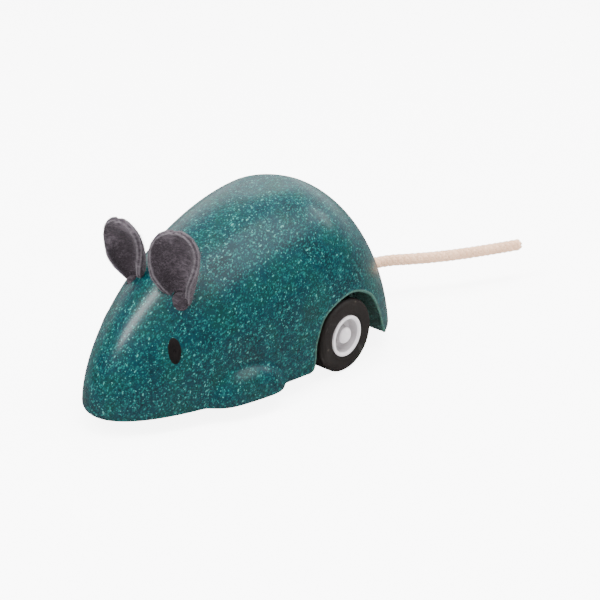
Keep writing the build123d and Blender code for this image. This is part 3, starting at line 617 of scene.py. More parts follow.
class BodyForm:
    """The body's outer form as a formula, in metres."""

    FRONT_POWER = 1.72
    REAR_POWER = 1.88
    REAR_SIDE_POWER = 1.82
    PAW_HALF_LENGTH = 11.5 * MM
    PAW_HEIGHT = 9.4 * MM

    def __init__(self):
        settings = bpy.context.scene.mouse_body
        self.half_length = settings.length / 2
        self.half_width = settings.width / 2
        self.top = settings.height
        self.low = BODY_LOW.z
        self.crown_x = 0.13 * settings.length
        self.widest_x = 0.24 * settings.length
        self.rim = settings.rim_round
        self.paw_depth = settings.paw_depth
        self.paw_x = -0.172 * settings.length

    def level(self, z):
        return np.clip((z - self.low) / (self.top - self.low), 0, 1)

    def reaches(self, z):
        """Front reach, rear reach, half width, widest place and side power at a height."""
        level = self.level(z)
        rise = np.clip(z - self.low, 0, self.rim)
        inset = self.rim - np.sqrt(np.maximum(self.rim**2 - (self.rim - rise) ** 2, 0))
        front = (self.crown_x + self.half_length) * share(level, 1.87, 1.73)
        front = front - 0.4 * MM * np.sin(pi * level) ** 2 - inset
        rear = (self.half_length - self.crown_x) * share(level, 1.53, 2.0) - inset
        half = self.half_width * share(level, 2.84, 2.07) - inset
        middle = self.widest_x + (self.crown_x - self.widest_x) * level
        return front, rear, half, middle, 2.09 - 0.35 * level

    def paw(self, x, z):
        """How far the paw swelling stands out at a place."""
        spread = ((x - self.paw_x) / self.PAW_HALF_LENGTH) ** 2 + ((z - self.low) / self.PAW_HEIGHT) ** 2
        return np.where(spread < 1, self.paw_depth * (1 - np.minimum(spread, 1) ** 2.6) ** 1.7, 0)

    def outline(self, z, count):
        """Level outline at a height, as evenly spaced (x, y) points."""
        front, rear, half, middle, power = self.reaches(z)
        turn = np.linspace(0, 2 * pi, count * 8 + 1)
        along, across = np.cos(turn), np.sin(turn)
        ahead = middle - (middle - self.crown_x + front) * np.abs(along) ** (2 / self.FRONT_POWER)
        behind = middle + (self.crown_x + rear - middle) * np.abs(along) ** (2 / self.REAR_POWER)
        x = np.where(along > 0, ahead, behind)
        y = half * np.abs(across) ** (2 / np.where(along > 0, power, self.REAR_SIDE_POWER))
        y = (y + self.paw(x, z) * (np.abs(across) > 0.05)) * np.where(across >= 0, 1, -1)
        run = np.concatenate([[0], np.cumsum(np.hypot(np.diff(x), np.diff(y)))])
        even = np.linspace(0, run[-1], count + 1)[:-1]
        return np.interp(even, run, x), np.interp(even, run, y)

    def share_along(self, x, z):
        """Share of the reach at a place, raised to its power, with the half width and its power."""
        front, rear, half, middle, power = self.reaches(z)
        reach = np.where(x < middle, middle - self.crown_x + front, self.crown_x + rear - middle)
        along = np.abs(x - middle) / np.maximum(reach, 1e-6)
        long_power = np.where(x < middle, self.FRONT_POWER, self.REAR_POWER)
        return along**long_power, half, np.where(x < middle, power, self.REAR_SIDE_POWER)

    def inside(self, x, y, z):
        """Below 1 inside the body, above 1 outside, at a height between base and crown."""
        along, half, side_power = self.share_along(x, z)
        across = np.maximum(np.abs(y) - self.paw(x, z), 0) / np.maximum(half, 1e-6)
        return along + across**side_power

    def normal(self, points, step=0.9 * MM):
        """Outward direction, averaged over a step so that the form shades evenly."""
        x, y, z = points.T
        gradient = np.stack(
            [
                self.inside(x + step, y, z) - self.inside(x - step, y, z),
                self.inside(x, y + step, z) - self.inside(x, y - step, z),
                self.inside(x, y, np.minimum(z + step, self.top - 1e-6))
                - self.inside(x, y, np.maximum(z - step, self.low)),
            ],
            axis=1,
        )
        gap = np.minimum(z + step, self.top - 1e-6) - np.maximum(z - step, self.low)
        gradient[:, 2] *= 2 * step / np.maximum(gap, 1e-7)
        gradient /= np.maximum(np.linalg.norm(gradient, axis=1, keepdims=True), 1e-12)
        crown = np.clip((z - (self.top - 0.8 * MM)) / (0.6 * MM), 0, 1)[:, None]
        gradient = gradient * (1 - crown) + np.array([0, 0, 1.0]) * crown
        return gradient / np.linalg.norm(gradient, axis=1, keepdims=True)

    def side(self, x, z):
        """Half width of the body at a place on its side."""
        along, half, side_power = self.share_along(x, z)
        return half * (1 - np.clip(along, 0, 1)) ** (1 / side_power) + self.paw(x, z)


def wheel_centre():
    return (TYRE_LOW.x + TYRE_HIGH.x) / 2, (TYRE_LOW.z + TYRE_HIGH.z) / 2


def arch_outline(count=72):
    """Arch in side view: round over the wheel, wider behind it, flared at the foot."""
    x, z = wheel_centre()
    radius = (TYRE_HIGH.z - TYRE_LOW.z) / 2
    reach = radius + 2.2 * MM
    low = BODY_LOW.z
    corners = [
        (x - reach - 3.4 * MM, low - 1.2 * MM),
        (x - reach - 2.1 * MM, low + 0.15 * MM),
        (x - reach - 0.8 * MM, low + 1.7 * MM),
        (x - reach - 0.3 * MM, low + 4.2 * MM),
        (x - reach + 0.4 * MM, z + 3 * MM),
        (x - 0.66 * reach, z + 0.75 * reach),
        (x + 0.1 * reach, z + reach),
        (x + 0.75 * reach, z + 0.75 * reach),
        (x + reach + 1.4 * MM, z + 3.2 * MM),
        (x + reach + 4.2 * MM, low + 2.3 * MM),
        (x + reach + 5.7 * MM, low + 0.5 * MM),
        (x + reach + 7.3 * MM, low - 1.2 * MM),
    ]
    points = []
    for index in range(len(corners) - 1):
        before = Vector(corners[max(index - 1, 0)])
        start, end = Vector(corners[index]), Vector(corners[index + 1])
        after = Vector(corners[min(index + 2, len(corners) - 1)])
        steps = count // (len(corners) - 1)
        for step in range(steps):
            t = step / steps
            point = 0.5 * (
                2 * start + (end - before) * t
                + (2 * before - 5 * start + 4 * end - after) * t**2
                + (3 * start - before - 3 * end + after) * t**3
            )
            points.append(tuple(point))
    points.append(corners[-1])
    return points


def bar(name, verts, mat):
    """Closed bar from the points of its first end followed by those of its last."""
    count = len(verts) // 2
    faces = [(i, (i + 1) % count, count + (i + 1) % count, count + i) for i in range(count)]
    faces += [tuple(range(count)), tuple(range(2 * count - 1, count - 1, -1))]
    obj = new_piece(name, verts, faces, None, mat)
    fix_normals(obj)
    return obj


def prism(name, outline, low, high, mat):
    """Cutter with an outline in x and z between two values of y."""
    return bar(name, [(x, low, z) for x, z in outline] + [(x, high, z) for x, z in outline], mat)


def block(name, low, high, mat):
    outline = [(low[0], low[2]), (high[0], low[2]), (high[0], high[2]), (low[0], high[2])]
    return prism(name, outline, low[1], high[1], mat)


def rod(name, start, end, radius, mat, segments=40):
    """Round cutter between two points."""
    axis = (Vector(end) - Vector(start)).normalized()
    side = axis.orthogonal().normalized()
    up = axis.cross(side)
    verts = []
    for point in (Vector(start), Vector(end)):
        for index in range(segments):
            turn = 2 * pi * index / segments
            verts.append(point + radius * (cos(turn) * side + sin(turn) * up))
    return bar(name, verts, mat)


EAR_PLACES = {
    -1: ((-28.2 * MM, -9.2 * MM, 31.7 * MM), (-0.09, 0.00, 0.99), (-1, -0.36, 0)),
    1: ((-28.7 * MM, 6.8 * MM, 31.8 * MM), (-0.24, 0.04, 0.97), (-1, -0.12, 0)),
}

EAR_SIZES = {-1: 1.0, 1: 0.88}
EAR_FOOT = 4.4 * MM
EAR_HOLE = 1.9 * MM


def ear_frame(side):
    """Root, across, up and back directions of an ear; the two were pushed in by hand and differ."""
    root, up, facing = (Vector(part) for part in EAR_PLACES[side])
    up.normalize()
    back = -(facing - up * facing.dot(up)).normalized()
    return root, up.cross(back), up, back


def body_cutters(mat):
    """Every cut in the body, sized from the CAD pieces that sit in it."""
    cutters = []
    inner = abs(TYRE_HIGH.y) - 0.8 * MM
    for side in (-1, 1):
        low, high = sorted((side * inner, side * 32 * MM))
        cutters.append(prism("cut_arch", arch_outline(), low, high, mat))
    gap = 0.3 * MM
    case_low, case_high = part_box("motor_case")
    cover_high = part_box("motor_cover")[1]
    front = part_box("motor_cover")[0].x
    cutters.append(
        block("cut_pocket", (front - gap, -cover_high.y - gap, -1 * MM),
              (cover_high.x + gap, cover_high.y + gap, cover_high.z + gap), mat)
    )
    cutters.append(
        block("cut_ledge", (case_low.x - gap, -cover_high.y - gap, -1 * MM),
              (case_high.x + gap, cover_high.y + gap, case_low.z + 1.2 * MM), mat)
    )
    x, z = wheel_centre()
    slot = [(x - 1.6 * MM, -1 * MM), (x + 1.6 * MM, -1 * MM)]
    slot += [(x + 1.6 * MM * cos(pi * i / 12), z + 1.6 * MM * sin(pi * i / 12)) for i in range(13)]
    cutters.append(prism("cut_slot", slot, -20 * MM, 20 * MM, mat))
    plate_low, plate_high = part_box("roller_bracket")
    cutters.append(
        block("cut_plate", (plate_low.x - gap, plate_low.y - gap, -1 * MM),
              (plate_high.x + gap, plate_high.y + gap, plate_low.z + 0.8 * MM), mat)
    )
    roll_low, roll_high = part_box("front_roller")
    cutters.append(
        block("cut_roller", (roll_low.x - 2 * gap, roll_low.y - 2.2 * MM, -1 * MM),
              (roll_high.x + 2 * gap, roll_high.y + 2.2 * MM, roll_high.z + 1.2 * MM), mat)
    )
    for side in (-1, 1):
        root, _, up, _ = ear_frame(side)
        cutters.append(rod("cut_ear", root - up * 5 * MM, root + up * 8 * MM, EAR_HOLE, mat))
    tail_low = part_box("tail_cord")[0].x
    tail_z = (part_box("tail_cord")[0].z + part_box("tail_cord")[1].z) / 2
    cutters.append(rod("cut_tail", (tail_low, 0, tail_z), (56 * MM, 0, tail_z), 1.65 * MM, mat))
    return cutters


def body_mesh(form, settings, outside, cut):
    """Closed mesh of the uncut body."""
    columns, rows = settings.columns, settings.rows
    rise = form.top - form.low
    heights = [form.low + form.rim * part for part in (0, 0.06, 0.2, 0.42, 0.7, 1)]
    heights += [form.low + rise * sin(pi / 2 * row / rows) for row in range(1, rows)]
    heights = sorted(z for i, z in enumerate(heights) if i < 6 or z > form.low + form.rim * 1.3)
    verts = []
    for z in heights:
        x, y = form.outline(np.array(z), columns)
        verts += [(a, b, z) for a, b in zip(x, y)]
    faces = grid_faces(len(heights), columns)
    crown = len(verts)
    verts.append((form.crown_x, 0, form.top))
    last = (len(heights) - 1) * columns
    faces += [(last + i, last + (i + 1) % columns, crown) for i in range(columns)]
    faces.append(tuple(range(columns)))
    obj = new_piece("mouse_body", verts, faces, None, outside)
    obj.data.materials.append(cut)
    fix_normals(obj)
    base = max(obj.data.polygons, key=lambda face: len(face.vertices))
    base.material_index = 1
    return obj


def shade_body(obj, form):
    """Exact normals on the outer form, angle-based ones in the cuts."""
    mesh = obj.data
    mesh.polygons.foreach_set("use_smooth", [True] * len(mesh.polygons))
    mesh.set_sharp_from_angle(angle=radians(38))
    points = np.empty(len(mesh.vertices) * 3, np.float32)
    mesh.vertices.foreach_get("co", points)
    ideal = form.normal(points.reshape(-1, 3).astype(float))
    corners = np.array([tuple(n.vector) for n in mesh.corner_normals])
    for face in mesh.polygons:
        if face.material_index == 0:
            for loop in face.loop_indices:
                corners[loop] = ideal[mesh.loops[loop].vertex_index]
    mesh.normals_split_custom_set([tuple(n) for n in corners])


def arch_lip(form, side, mat):
    """Rounded rim that runs round a wheel arch on the body's outer face, in a paler finish that is a painted
    highlight.
    """
    outline = [(x, z) for x, z in arch_outline(160) if z > form.low + 0.25 * MM]
    radius = 0.42 * MM
    centres, outward = [], []
    for x, z in outline:
        y = float(form.side(np.array(x), np.array(z)))
        point = np.array([[x, side * y, z]])
        normal = form.normal(point)[0]
        centres.append(Vector(point[0]) - Vector(normal) * radius * 0.80)
        outward.append(Vector(normal))
    verts, ring = [], 10
    for index, centre in enumerate(centres):
        before = centres[max(index - 1, 0)]
        after = centres[min(index + 1, len(centres) - 1)]
        along = (after - before).normalized()
        up = (outward[index] - along * outward[index].dot(along)).normalized()
        across = along.cross(up)
        for step in range(ring):
            turn = 2 * pi * step / ring
            verts.append(centre + radius * (cos(turn) * up + sin(turn) * across))
    faces = grid_faces(len(centres), ring)
    faces += [tuple(range(ring - 1, -1, -1)), tuple((len(centres) - 1) * ring + i for i in range(ring))]
    obj = new_piece(f"arch_lip_{'left' if side < 0 else 'right'}", verts, faces, "mouse", mat)
    fix_normals(obj, radians(60))
    return obj


class MOUSE_OT_body(bpy.types.Operator):
    """Build the moulded body with its wheel arches, holes and motor pocket"""

    bl_idname = "mouse.body"
    bl_label = "Body"

    def execute(self, context):
        settings = context.scene.mouse_body
        outside = composite("composite_varnished", True)
        # Cut faces: raw and paler, partly their own colour and partly painted light against the shade in the
        # arches and pockets.
        cut = composite("composite_cut", False, 0.35)
        # Paler varnished copy for the arch lips: a painted highlight along the rounded arch edges.
        lip_highlight = composite("composite_edge_highlight", True, 0.4)
        form = BodyForm()
        obj = body_mesh(form, settings, outside, cut)
        cutters = body_cutters(cut)
        for cutter in cutters:
            modifier = obj.modifiers.new("cut", "BOOLEAN")
            modifier.operation = "DIFFERENCE"
            modifier.solver = "EXACT"
            modifier.material_mode = "TRANSFER"
            modifier.object = cutter
        apply_modifiers(obj)
        if len(obj.data.polygons) < settings.columns * settings.rows // 2:
            raise RuntimeError("the cuts left no whole body")
        for cutter in cutters:
            bpy.data.objects.remove(cutter)
        shade_body(obj, form)
        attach(obj, "mouse")
        stand_for("body_shell")
        for side in SIDES.values():
            arch_lip(form, side, lip_highlight)
        return {"FINISHED"}


EYE_X = -33.9 * MM
EYE_Z = 20.2 * MM
EYE_HALF_WIDTH = 1.65 * MM
EYE_HALF_HEIGHT = 3.3 * MM
EYE_RISE = 0.10 * MM


class MOUSE_OT_eyes(bpy.types.Operator):
    """Build the two stained oval eyes"""

    bl_idname = "mouse.eyes"
    bl_label = "Eyes"

    def execute(self, context):
        form = BodyForm()
        mat = eye_finish()
        for name, side in SIDES.items():
            point = np.array([EYE_X, side * float(form.side(np.array(EYE_X), np.array(EYE_Z))), EYE_Z])
            normal = Vector(form.normal(point[None])[0])
            across = normal.cross(Vector((0, 0, 1))).normalized()
            up = across.cross(normal).normalized()
            if up.z < 0:
                up = -up
            verts, rings, segments = [Vector(point)], 14, 56
            for ring in range(1, rings + 1):
                reach = ring / rings
                for step in range(segments):
                    turn = 2 * pi * step / segments
                    wide, tall = EYE_HALF_WIDTH * reach * cos(turn), EYE_HALF_HEIGHT * reach * sin(turn)
                    verts.append(Vector(point) + across * wide + up * tall)
            placed = []
            for index, vert in enumerate(verts):
                reach = 0 if index == 0 else ((index - 1) // segments + 1) / rings
                y = side * float(form.side(np.array(vert.x), np.array(vert.z)))
                on_skin = Vector((vert.x, y, vert.z))
                rise = EYE_RISE * sqrt(max(1 - reach**4, 0)) - 0.06 * MM * reach**10
                placed.append(on_skin + normal * (rise + 0.03 * MM))
            faces = [(0, 1 + i, 1 + (i + 1) % segments) for i in range(segments)]
            faces += grid_faces(rings, segments, offset=1)
            obj = new_piece(f"eye_{name}", placed, faces, "mouse", mat)
            if side > 0:
                obj.data.flip_normals()
            stand_for(f"{name}_eye")
        return {"FINISHED"}


# ------------------------------------------------------------------ ears


def leaf_half_width(v, half):
    """Half width of the flat felt leaf at a share of its height."""
    foot = 2.7 * MM
    v = (v + 0.12) / 1.12
    if v <= 0:
        return foot
    if v < 0.46:
        return foot + (half - foot) * sin(pi / 2 * v / 0.46) ** 1.2
    return half * sqrt(max(1 - ((min(v, 1.0) - 0.46) / 0.54) ** 2.2, 0))


def ear_point(u, v, settings, side):
    """Middle of the felt at a place on the leaf: u across (-1 to 1), v from foot (<0) to tip (1)."""
    root, across, up, back = ear_frame(side)
    half = settings.width / 2
    wide = leaf_half_width(v, half)
    bend = 1.6 * MM + 6.0 * MM * min(max(v + 0.1, 0) / 0.85, 1) ** 0.9
    wide *= EAR_SIZES[side]
    arc = u * wide
    toward_view = u * up.cross(back).y < 0
    curl = bend * (0.95 if toward_view else 1.35)
    sideways = curl * sin(arc / curl)
    forward = curl * (1 - cos(arc / curl))
    rise = v * settings.height if v > 0 else v * EAR_FOOT / 0.2
    lean = 1.5 * MM * sin(pi * min(max(v, 0), 1)) - 1.6 * MM * max(v, 0) ** 2
    ripple = 0.25 * MM * sin(3.1 * u + 5.0 * v) * max(v, 0)
    return root + across * sideways + up * rise + back * (lean + 2.2 * MM - forward + ripple)


def felt_leaf(name, side, mat):
    """Thick cupped leaf with a rounded rim, from its middle surface."""
    settings = bpy.context.scene.mouse_ears
    rows, columns = 64, 44
    heights = [-0.2 + 0.2 * i / 6 for i in range(6)]
    heights += [1 - (1 - i / (rows - 1)) ** 1.35 for i in range(rows)]
    heights = [min(h, 0.9985) for h in heights]
    places = [sin(pi / 2 * (2 * c / (columns - 1) - 1)) for c in range(columns)]
    middle = [[ear_point(u, v, settings, side) for u in places] for v in heights]
    total = len(heights)
    thick = settings.thickness / 2
    fronts, backs, rims = [], [], []
    for r in range(total):
        for c in range(columns):
            row = min(r, total - 7)
            along = middle[row][min(c + 1, columns - 1)] - middle[row][max(c - 1, 0)]
            upward = middle[row + 1][c] - middle[max(row - 1, 0)][c]
            normal = along.cross(upward).normalized()
            edge = (1 - abs(places[c])) * leaf_half_width(heights[r], settings.width / 2)
            tip = (1 - heights[r]) * settings.height
            near = min(edge, tip)
            round_off = sqrt(max(1 - max(1 - near / (0.4 * MM), 0) ** 2, 0)) * 0.4 + 0.6
            fronts.append(middle[r][c] + normal * thick * round_off)
            backs.append(middle[r][c] - normal * thick * round_off)
            # Closeness to the rim, which the felt finish turns into a painted highlight.
            rims.append(max(1 - near / (0.28 * MM), 0.0))
    verts = fronts + backs
    count = total * columns
    faces = grid_faces(total, columns, False)
    faces += [tuple(reversed([i + count for i in f])) for f in grid_faces(total, columns, False)]
    for r in range(total - 1):
        for c, flip in ((0, False), (columns - 1, True)):
            a, b = r * columns + c, (r + 1) * columns + c
            quad = (a, b, b + count, a + count)
            faces.append(tuple(reversed(quad)) if flip else quad)
    for c in range(columns - 1):
        for r, flip in ((0, True), (total - 1, False)):
            a, b = r * columns + c, r * columns + c + 1
            quad = (a, b, b + count, a + count)
            faces.append(tuple(reversed(quad)) if flip else quad)
    obj = new_piece(name, verts, faces, None, mat)
    rim = obj.data.attributes.new("rim", "FLOAT", "POINT")
    rim.data.foreach_set("value", rims + rims)
    face = obj.data.attributes.new("face", "FLOAT", "POINT")
    face.data.foreach_set("value", [-1.0] * count + [1.0] * count)
    fix_normals(obj, radians(80))
    subdivide = obj.modifiers.new("soften", "SUBSURF")
    subdivide.levels = subdivide.render_levels = 1
    texture = bpy.data.textures.new(name + "_lumps", "CLOUDS")
    texture.noise_scale = 1.6 * MM
    texture.noise_depth = 3
    lumps = obj.modifiers.new("lumps", "DISPLACE")
    lumps.texture = texture
    lumps.texture_coords = "LOCAL"
    lumps.strength = 0.2 * MM
    apply_modifiers(obj)
    return obj


def ear_foot(name, side, mat):
    """Pinched felt that fills the hole under a leaf."""
    root, across, up, back = ear_frame(side)
    random = np.random.default_rng(31 + side)
    corners = ((-4.4, 0.0), (-4.4, 1.85), (-2.0, 1.9), (-0.4, 1.9), (0.0, 1.8), (0.4, 1.4), (0.7, 0.8), (0.8, 0.0))
    ring, verts = 40, []
    for rise, reach in rounded_profile([(a * MM, b * MM, 0.8 * MM) for a, b in corners], 4):
        for step in range(ring):
            turn = 2 * pi * step / ring
            wide = reach * EAR_SIZES[side] * (1 + 0.06 * sin(3 * turn + side) + random.normal(0, 0.012))
            verts.append(root + up * rise + across * wide * 1.05 * cos(turn) + back * wide * sin(turn))
    obj = new_piece(name, verts, grid_faces(len(verts) // ring, ring), "mouse", mat)
    fix_normals(obj, radians(80))
    return obj


def loose_fibres(name, leaf, count, mat, seed, longest=0.9 * MM):
    """Short curved wool fibres that stand off a felt piece, spread over its faces by area."""
    random = np.random.default_rng(seed)
    mesh = leaf.data
    areas = np.array([face.area for face in mesh.polygons])
    centres = np.array([tuple(face.center) for face in mesh.polygons])
    normals = np.array([tuple(face.normal) for face in mesh.polygons])
    picked = random.choice(len(areas), size=count, p=areas / areas.sum())
    verts, faces = [], []
    for face in picked:
        start = centres[face] + random.normal(0, 0.12 * MM, 3)
        heading = normals[face] * 0.55 + random.normal(0, 0.65, 3)
        heading /= np.linalg.norm(heading)
        bend = random.normal(0, 0.5, 3)
        span = longest * random.uniform(0.35, 1.0)
        width = 0.014 * MM * random.uniform(0.7, 1.4)
        side = np.cross(heading, bend)
        side /= max(np.linalg.norm(side), 1e-9)
        other = np.cross(heading, side)
        base = len(verts)
        for step in range(4):
            t = step / 3
            place = start + heading * span * t + bend * span * 0.45 * t**2
            taper = width * (1 - 0.6 * t)
            for corner in range(3):
                turn = 2 * pi * corner / 3
                verts.append(place + taper * (cos(turn) * side + sin(turn) * other))
        for step in range(3):
            for corner in range(3):
                a = base + step * 3 + corner
                b = base + step * 3 + (corner + 1) % 3
                faces.append((a, b, b + 3, a + 3))
    return new_piece(name, verts, faces, "mouse", mat)


class MOUSE_OT_ears(bpy.types.Operator):
    """Build the two cupped felt ears with their loose fibres"""

    bl_idname = "mouse.ears"
    bl_label = "Ears"

    def execute(self, context):
        settings = context.scene.mouse_ears
        felt = felt_finish("wool_felt", 0.0)
        # The loose fibres get a lighter copy of the felt: a painted highlight.
        lit_fibres = felt_finish("loose_wool_highlight", 0.45)
        for name, side in SIDES.items():
            leaf = felt_leaf(f"ear_{name}", side, felt)
            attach(leaf, "mouse")
            stand_for(f"{name}_ear")
            hairs = loose_fibres(f"ear_fibres_{name}", leaf, settings.fibres, lit_fibres, 7 + side)
            plug = ear_foot(f"ear_foot_{name}", side, felt)
        return {"FINISHED"}


# ------------------------------------------------------------------ tail

TAIL_ROUTE = [
    (44.0 * MM, 0.0, 11.0 * MM),
    (56.5 * MM, 0.0, 11.0 * MM),
    (68.5 * MM, -10.4 * MM, 11.0 * MM),
    (81.5 * MM, -18.5 * MM, 11.0 * MM),
    (95.2 * MM, -25.0 * MM, 11.0 * MM),
]


CORE_STEPS = 90
CORE_RING = 20


def smooth_route(points):
    """Points along the smooth curve that has the route's points as its control points."""
    curve = bpy.data.curves.new("tail_line", "CURVE")
    curve.dimensions = "3D"
    spline = curve.splines.new("NURBS")
    spline.points.add(len(points) - 1)
    for index, point in enumerate(points):
        spline.points[index].co = (*point, 1.0)
    spline.order_u = 3
    spline.use_endpoint_u = True
    spline.resolution_u = 60
    line = bpy.data.objects.new("tail_line", curve)
    bpy.context.scene.collection.objects.link(line)
    bpy.context.view_layer.update()
    evaluated = line.evaluated_get(bpy.context.evaluated_depsgraph_get())
    mesh = bpy.data.meshes.new_from_object(evaluated)
    path = [v.co.copy() for v in mesh.vertices]
    bpy.data.objects.remove(line)
    bpy.data.curves.remove(curve)
    bpy.data.meshes.remove(mesh)
    return path


def frames_along(path):
    """Lengths along a path, and a steady side and up direction at each point."""
    run = [0.0]
    for a, b in zip(path, path[1:]):
        run.append(run[-1] + (b - a).length)
    frames = []
    side = Vector((0, 1, 0))
    for index in range(len(path)):
        along = (path[min(index + 1, len(path) - 1)] - path[max(index - 1, 0)]).normalized()
        side = (side - along * side.dot(along)).normalized()
        frames.append((along, side, along.cross(side)))
    return run, frames


def at_length(path, run, frames, distance):
    index = int(np.searchsorted(run, distance))
    index = min(max(index, 1), len(path) - 1)
    span = run[index] - run[index - 1]
    t = (distance - run[index - 1]) / span if span else 0.0
    point = path[index - 1].lerp(path[index], min(max(t, 0.0), 1.0))
    return point, frames[index][1], frames[index][2]


def tube_rings(centres, normals, radius_a, radius_b, ring, verts, faces, caps=True):
    """Adds a flat-oval tube along points to a list of verts and faces."""
    offset = len(verts)
    for index, centre in enumerate(centres):
        before, after = centres[max(index - 1, 0)], centres[min(index + 1, len(centres) - 1)]
        along = (after - before).normalized()
        out = (normals[index] - along * normals[index].dot(along)).normalized()
        across = along.cross(out)
        for step in range(ring):
            turn = 2 * pi * step / ring
            verts.append(centre + out * radius_a * cos(turn) + across * radius_b * sin(turn))
    faces += grid_faces(len(centres), ring, True, offset)
    if caps:
        last = offset + (len(centres) - 1) * ring
        faces.append(tuple(offset + ring - 1 - i for i in range(ring)))
        faces.append(tuple(last + i for i in range(ring)))


class MOUSE_OT_tail(bpy.types.Operator):
    """Build the braided cotton tail with its core and cut end"""

    bl_idname = "mouse.tail"
    bl_label = "Tail"

    def execute(self, context):
        settings = context.scene.mouse_tail
        path = smooth_route(TAIL_ROUTE)
        run, frames = frames_along(path)
        total = run[-1]
        radius = settings.diameter / 2
        verts, faces = [], []
        core = [at_length(path, run, frames, total * i / CORE_STEPS) for i in range(CORE_STEPS + 1)]
        reach = radius * 0.66
        tube_rings([c[0] for c in core], [c[1] for c in core], reach, reach, CORE_RING, verts, faces)
        core_faces = len(faces)
        carriers = settings.carriers
        turns = total / settings.pitch
        steps = int(turns * 28)
        flat, wide = 0.24 * radius, 0.30 * radius
        for way in (-1, 1):
            for carrier in range(carriers):
                start = 2 * pi * carrier / carriers + (pi / carriers if way > 0 else 0)
                centres, outs = [], []
                for step in range(steps + 1):
                    distance = total * step / steps
                    angle = start + way * 2 * pi * turns * step / steps
                    over = way * cos(carriers * 2 * pi * turns * step / steps + pi * carrier)
                    point, side, up = at_length(path, run, frames, distance)
                    out = side * cos(angle) + up * sin(angle)
                    centres.append(point + out * (radius * 0.80 + 0.12 * radius * over))
                    outs.append(out)
                tube_rings(centres, outs, flat, wide, 8, verts, faces)
        obj = new_piece("tail_braid", verts, faces, "mouse", cotton_finish("cotton_braid", 1.0))
        # The core is the same cotton made much darker: painted shade in the gaps between the yarns.
        obj.data.materials.append(cotton_finish("cotton_core_shade", 0.22))
        for face in obj.data.polygons[:core_faces]:
            face.material_index = 1
        stand_for("tail_cord")
        return {"FINISHED"}


# ------------------------------------------------------------------ wheels


class MOUSE_OT_wheels(bpy.types.Operator):
    """Build the rubber tyres and the dished hubs"""

    bl_idname = "mouse.wheels"
    bl_label = "Wheels"

    def execute(self, context):
        settings = context.scene.mouse_wheels
        centre = wheel_centre()
        radius = (TYRE_HIGH.z - TYRE_LOW.z) / 2
        rim = (HUB_HIGH.z - HUB_LOW.z) / 2 - 0.15 * MM
        face = -TYRE_LOW.y
        back = -TYRE_HIGH.y
        hub_face = -HUB_LOW.y
        hub_back = -HUB_HIGH.y
        rubber = rubber_finish()
        plastic = plastic_finish("hub_plastic", tuple(settings.plastic), 0.42, 1400.0, 0.00004)
        # Darker copy of the hub plastic: painted shade inside the dish.
        dish_shade = plastic_finish("hub_dish_shade", tint(settings.plastic, 0.62), 0.5, 1400.0, 0.00004)
        chamfer = settings.chamfer
        tyre_corners = [
            (back, rim - 0.8 * MM, 0),
            (back, rim + 0.4 * MM, 0),
            (back, radius - 0.6 * MM, 0.3 * MM),
            (back + 0.6 * MM, radius, 0.4 * MM),
            (back + 1.5 * MM, radius, 0),
            (back + 1.8 * MM, radius - 0.40 * MM, 0.2 * MM),
            (back + 2.3 * MM, radius - 0.40 * MM, 0.2 * MM),
            (back + 2.6 * MM, radius, 0),
            (face - chamfer - 0.2 * MM, radius, 0.7 * MM),
            (face - 0.12 * MM, radius - chamfer, 0.6 * MM),
            (face, radius - chamfer - 0.8 * MM, 0.3 * MM),
            (face - 0.05 * MM, rim + 0.9 * MM, 0.3 * MM),
            (face - 0.25 * MM, rim + 0.25 * MM, 0.2 * MM),
            (face - 0.5 * MM, rim + 0.02 * MM, 0),
            (face - 1.2 * MM, rim - 0.3 * MM, 0),
        ]
        dish = rim - 0.9 * MM
        hub_corners = [
            (hub_back, 1.1 * MM, 0),
            (hub_back, rim - 1.0 * MM, 0.2 * MM),
            (hub_face - 1.1 * MM, rim - 1.0 * MM, 0),
            (hub_face - 1.1 * MM, rim, 0.1 * MM),
            (hub_face - 0.1 * MM, rim, 0.25 * MM),
            (hub_face, rim - 0.35 * MM, 0.25 * MM),
            (hub_face, dish + 0.2 * MM, 0.2 * MM),
            (hub_face - 0.5 * MM, dish - 0.1 * MM, 0.3 * MM),
            (hub_face - 2.9 * MM, dish - 0.4 * MM, 0.5 * MM),
            (hub_face - 3.1 * MM, 2.7 * MM, 0.3 * MM),
            (hub_face - 2.4 * MM, 2.35 * MM, 0.2 * MM),
            (hub_face - 0.7 * MM, 2.15 * MM, 0.8 * MM),
            (hub_face - 0.05 * MM, 1.3 * MM, 0.8 * MM),
            (hub_face, 0.4 * MM, 0.2 * MM),
            (hub_face, 0.0, 0),
            (hub_face - 1.5 * MM, 0.0, 0),
            (hub_face - 1.5 * MM, 1.1 * MM, 0),
        ]
        for name, side in SIDES.items():
            tyre = lathe(f"tyre_{name}", rounded_profile(tyre_corners), centre, side, "wheelset", rubber)
            hub = lathe(f"hub_{name}", rounded_profile(hub_corners), centre, side, "wheelset", plastic)
            for obj in (tyre, hub):
                fix_normals(obj, radians(35), join=1e-7)
            hub.data.materials.append(dish_shade)
            # Faces inside the dish take the darker copy, a painted shade.
            for part in hub.data.polygons:
                reach = sqrt((part.center.x - centre[0]) ** 2 + (part.center.z - centre[1]) ** 2)
                deep = hub_face - 0.55 * MM > abs(part.center.y) > hub_face - 3.3 * MM
                if deep and 2.2 * MM < reach < dish:
                    part.material_index = 1
            stand_for(f"{name}_tyre")
            stand_for(f"{name}_hub")
        return {"FINISHED"}


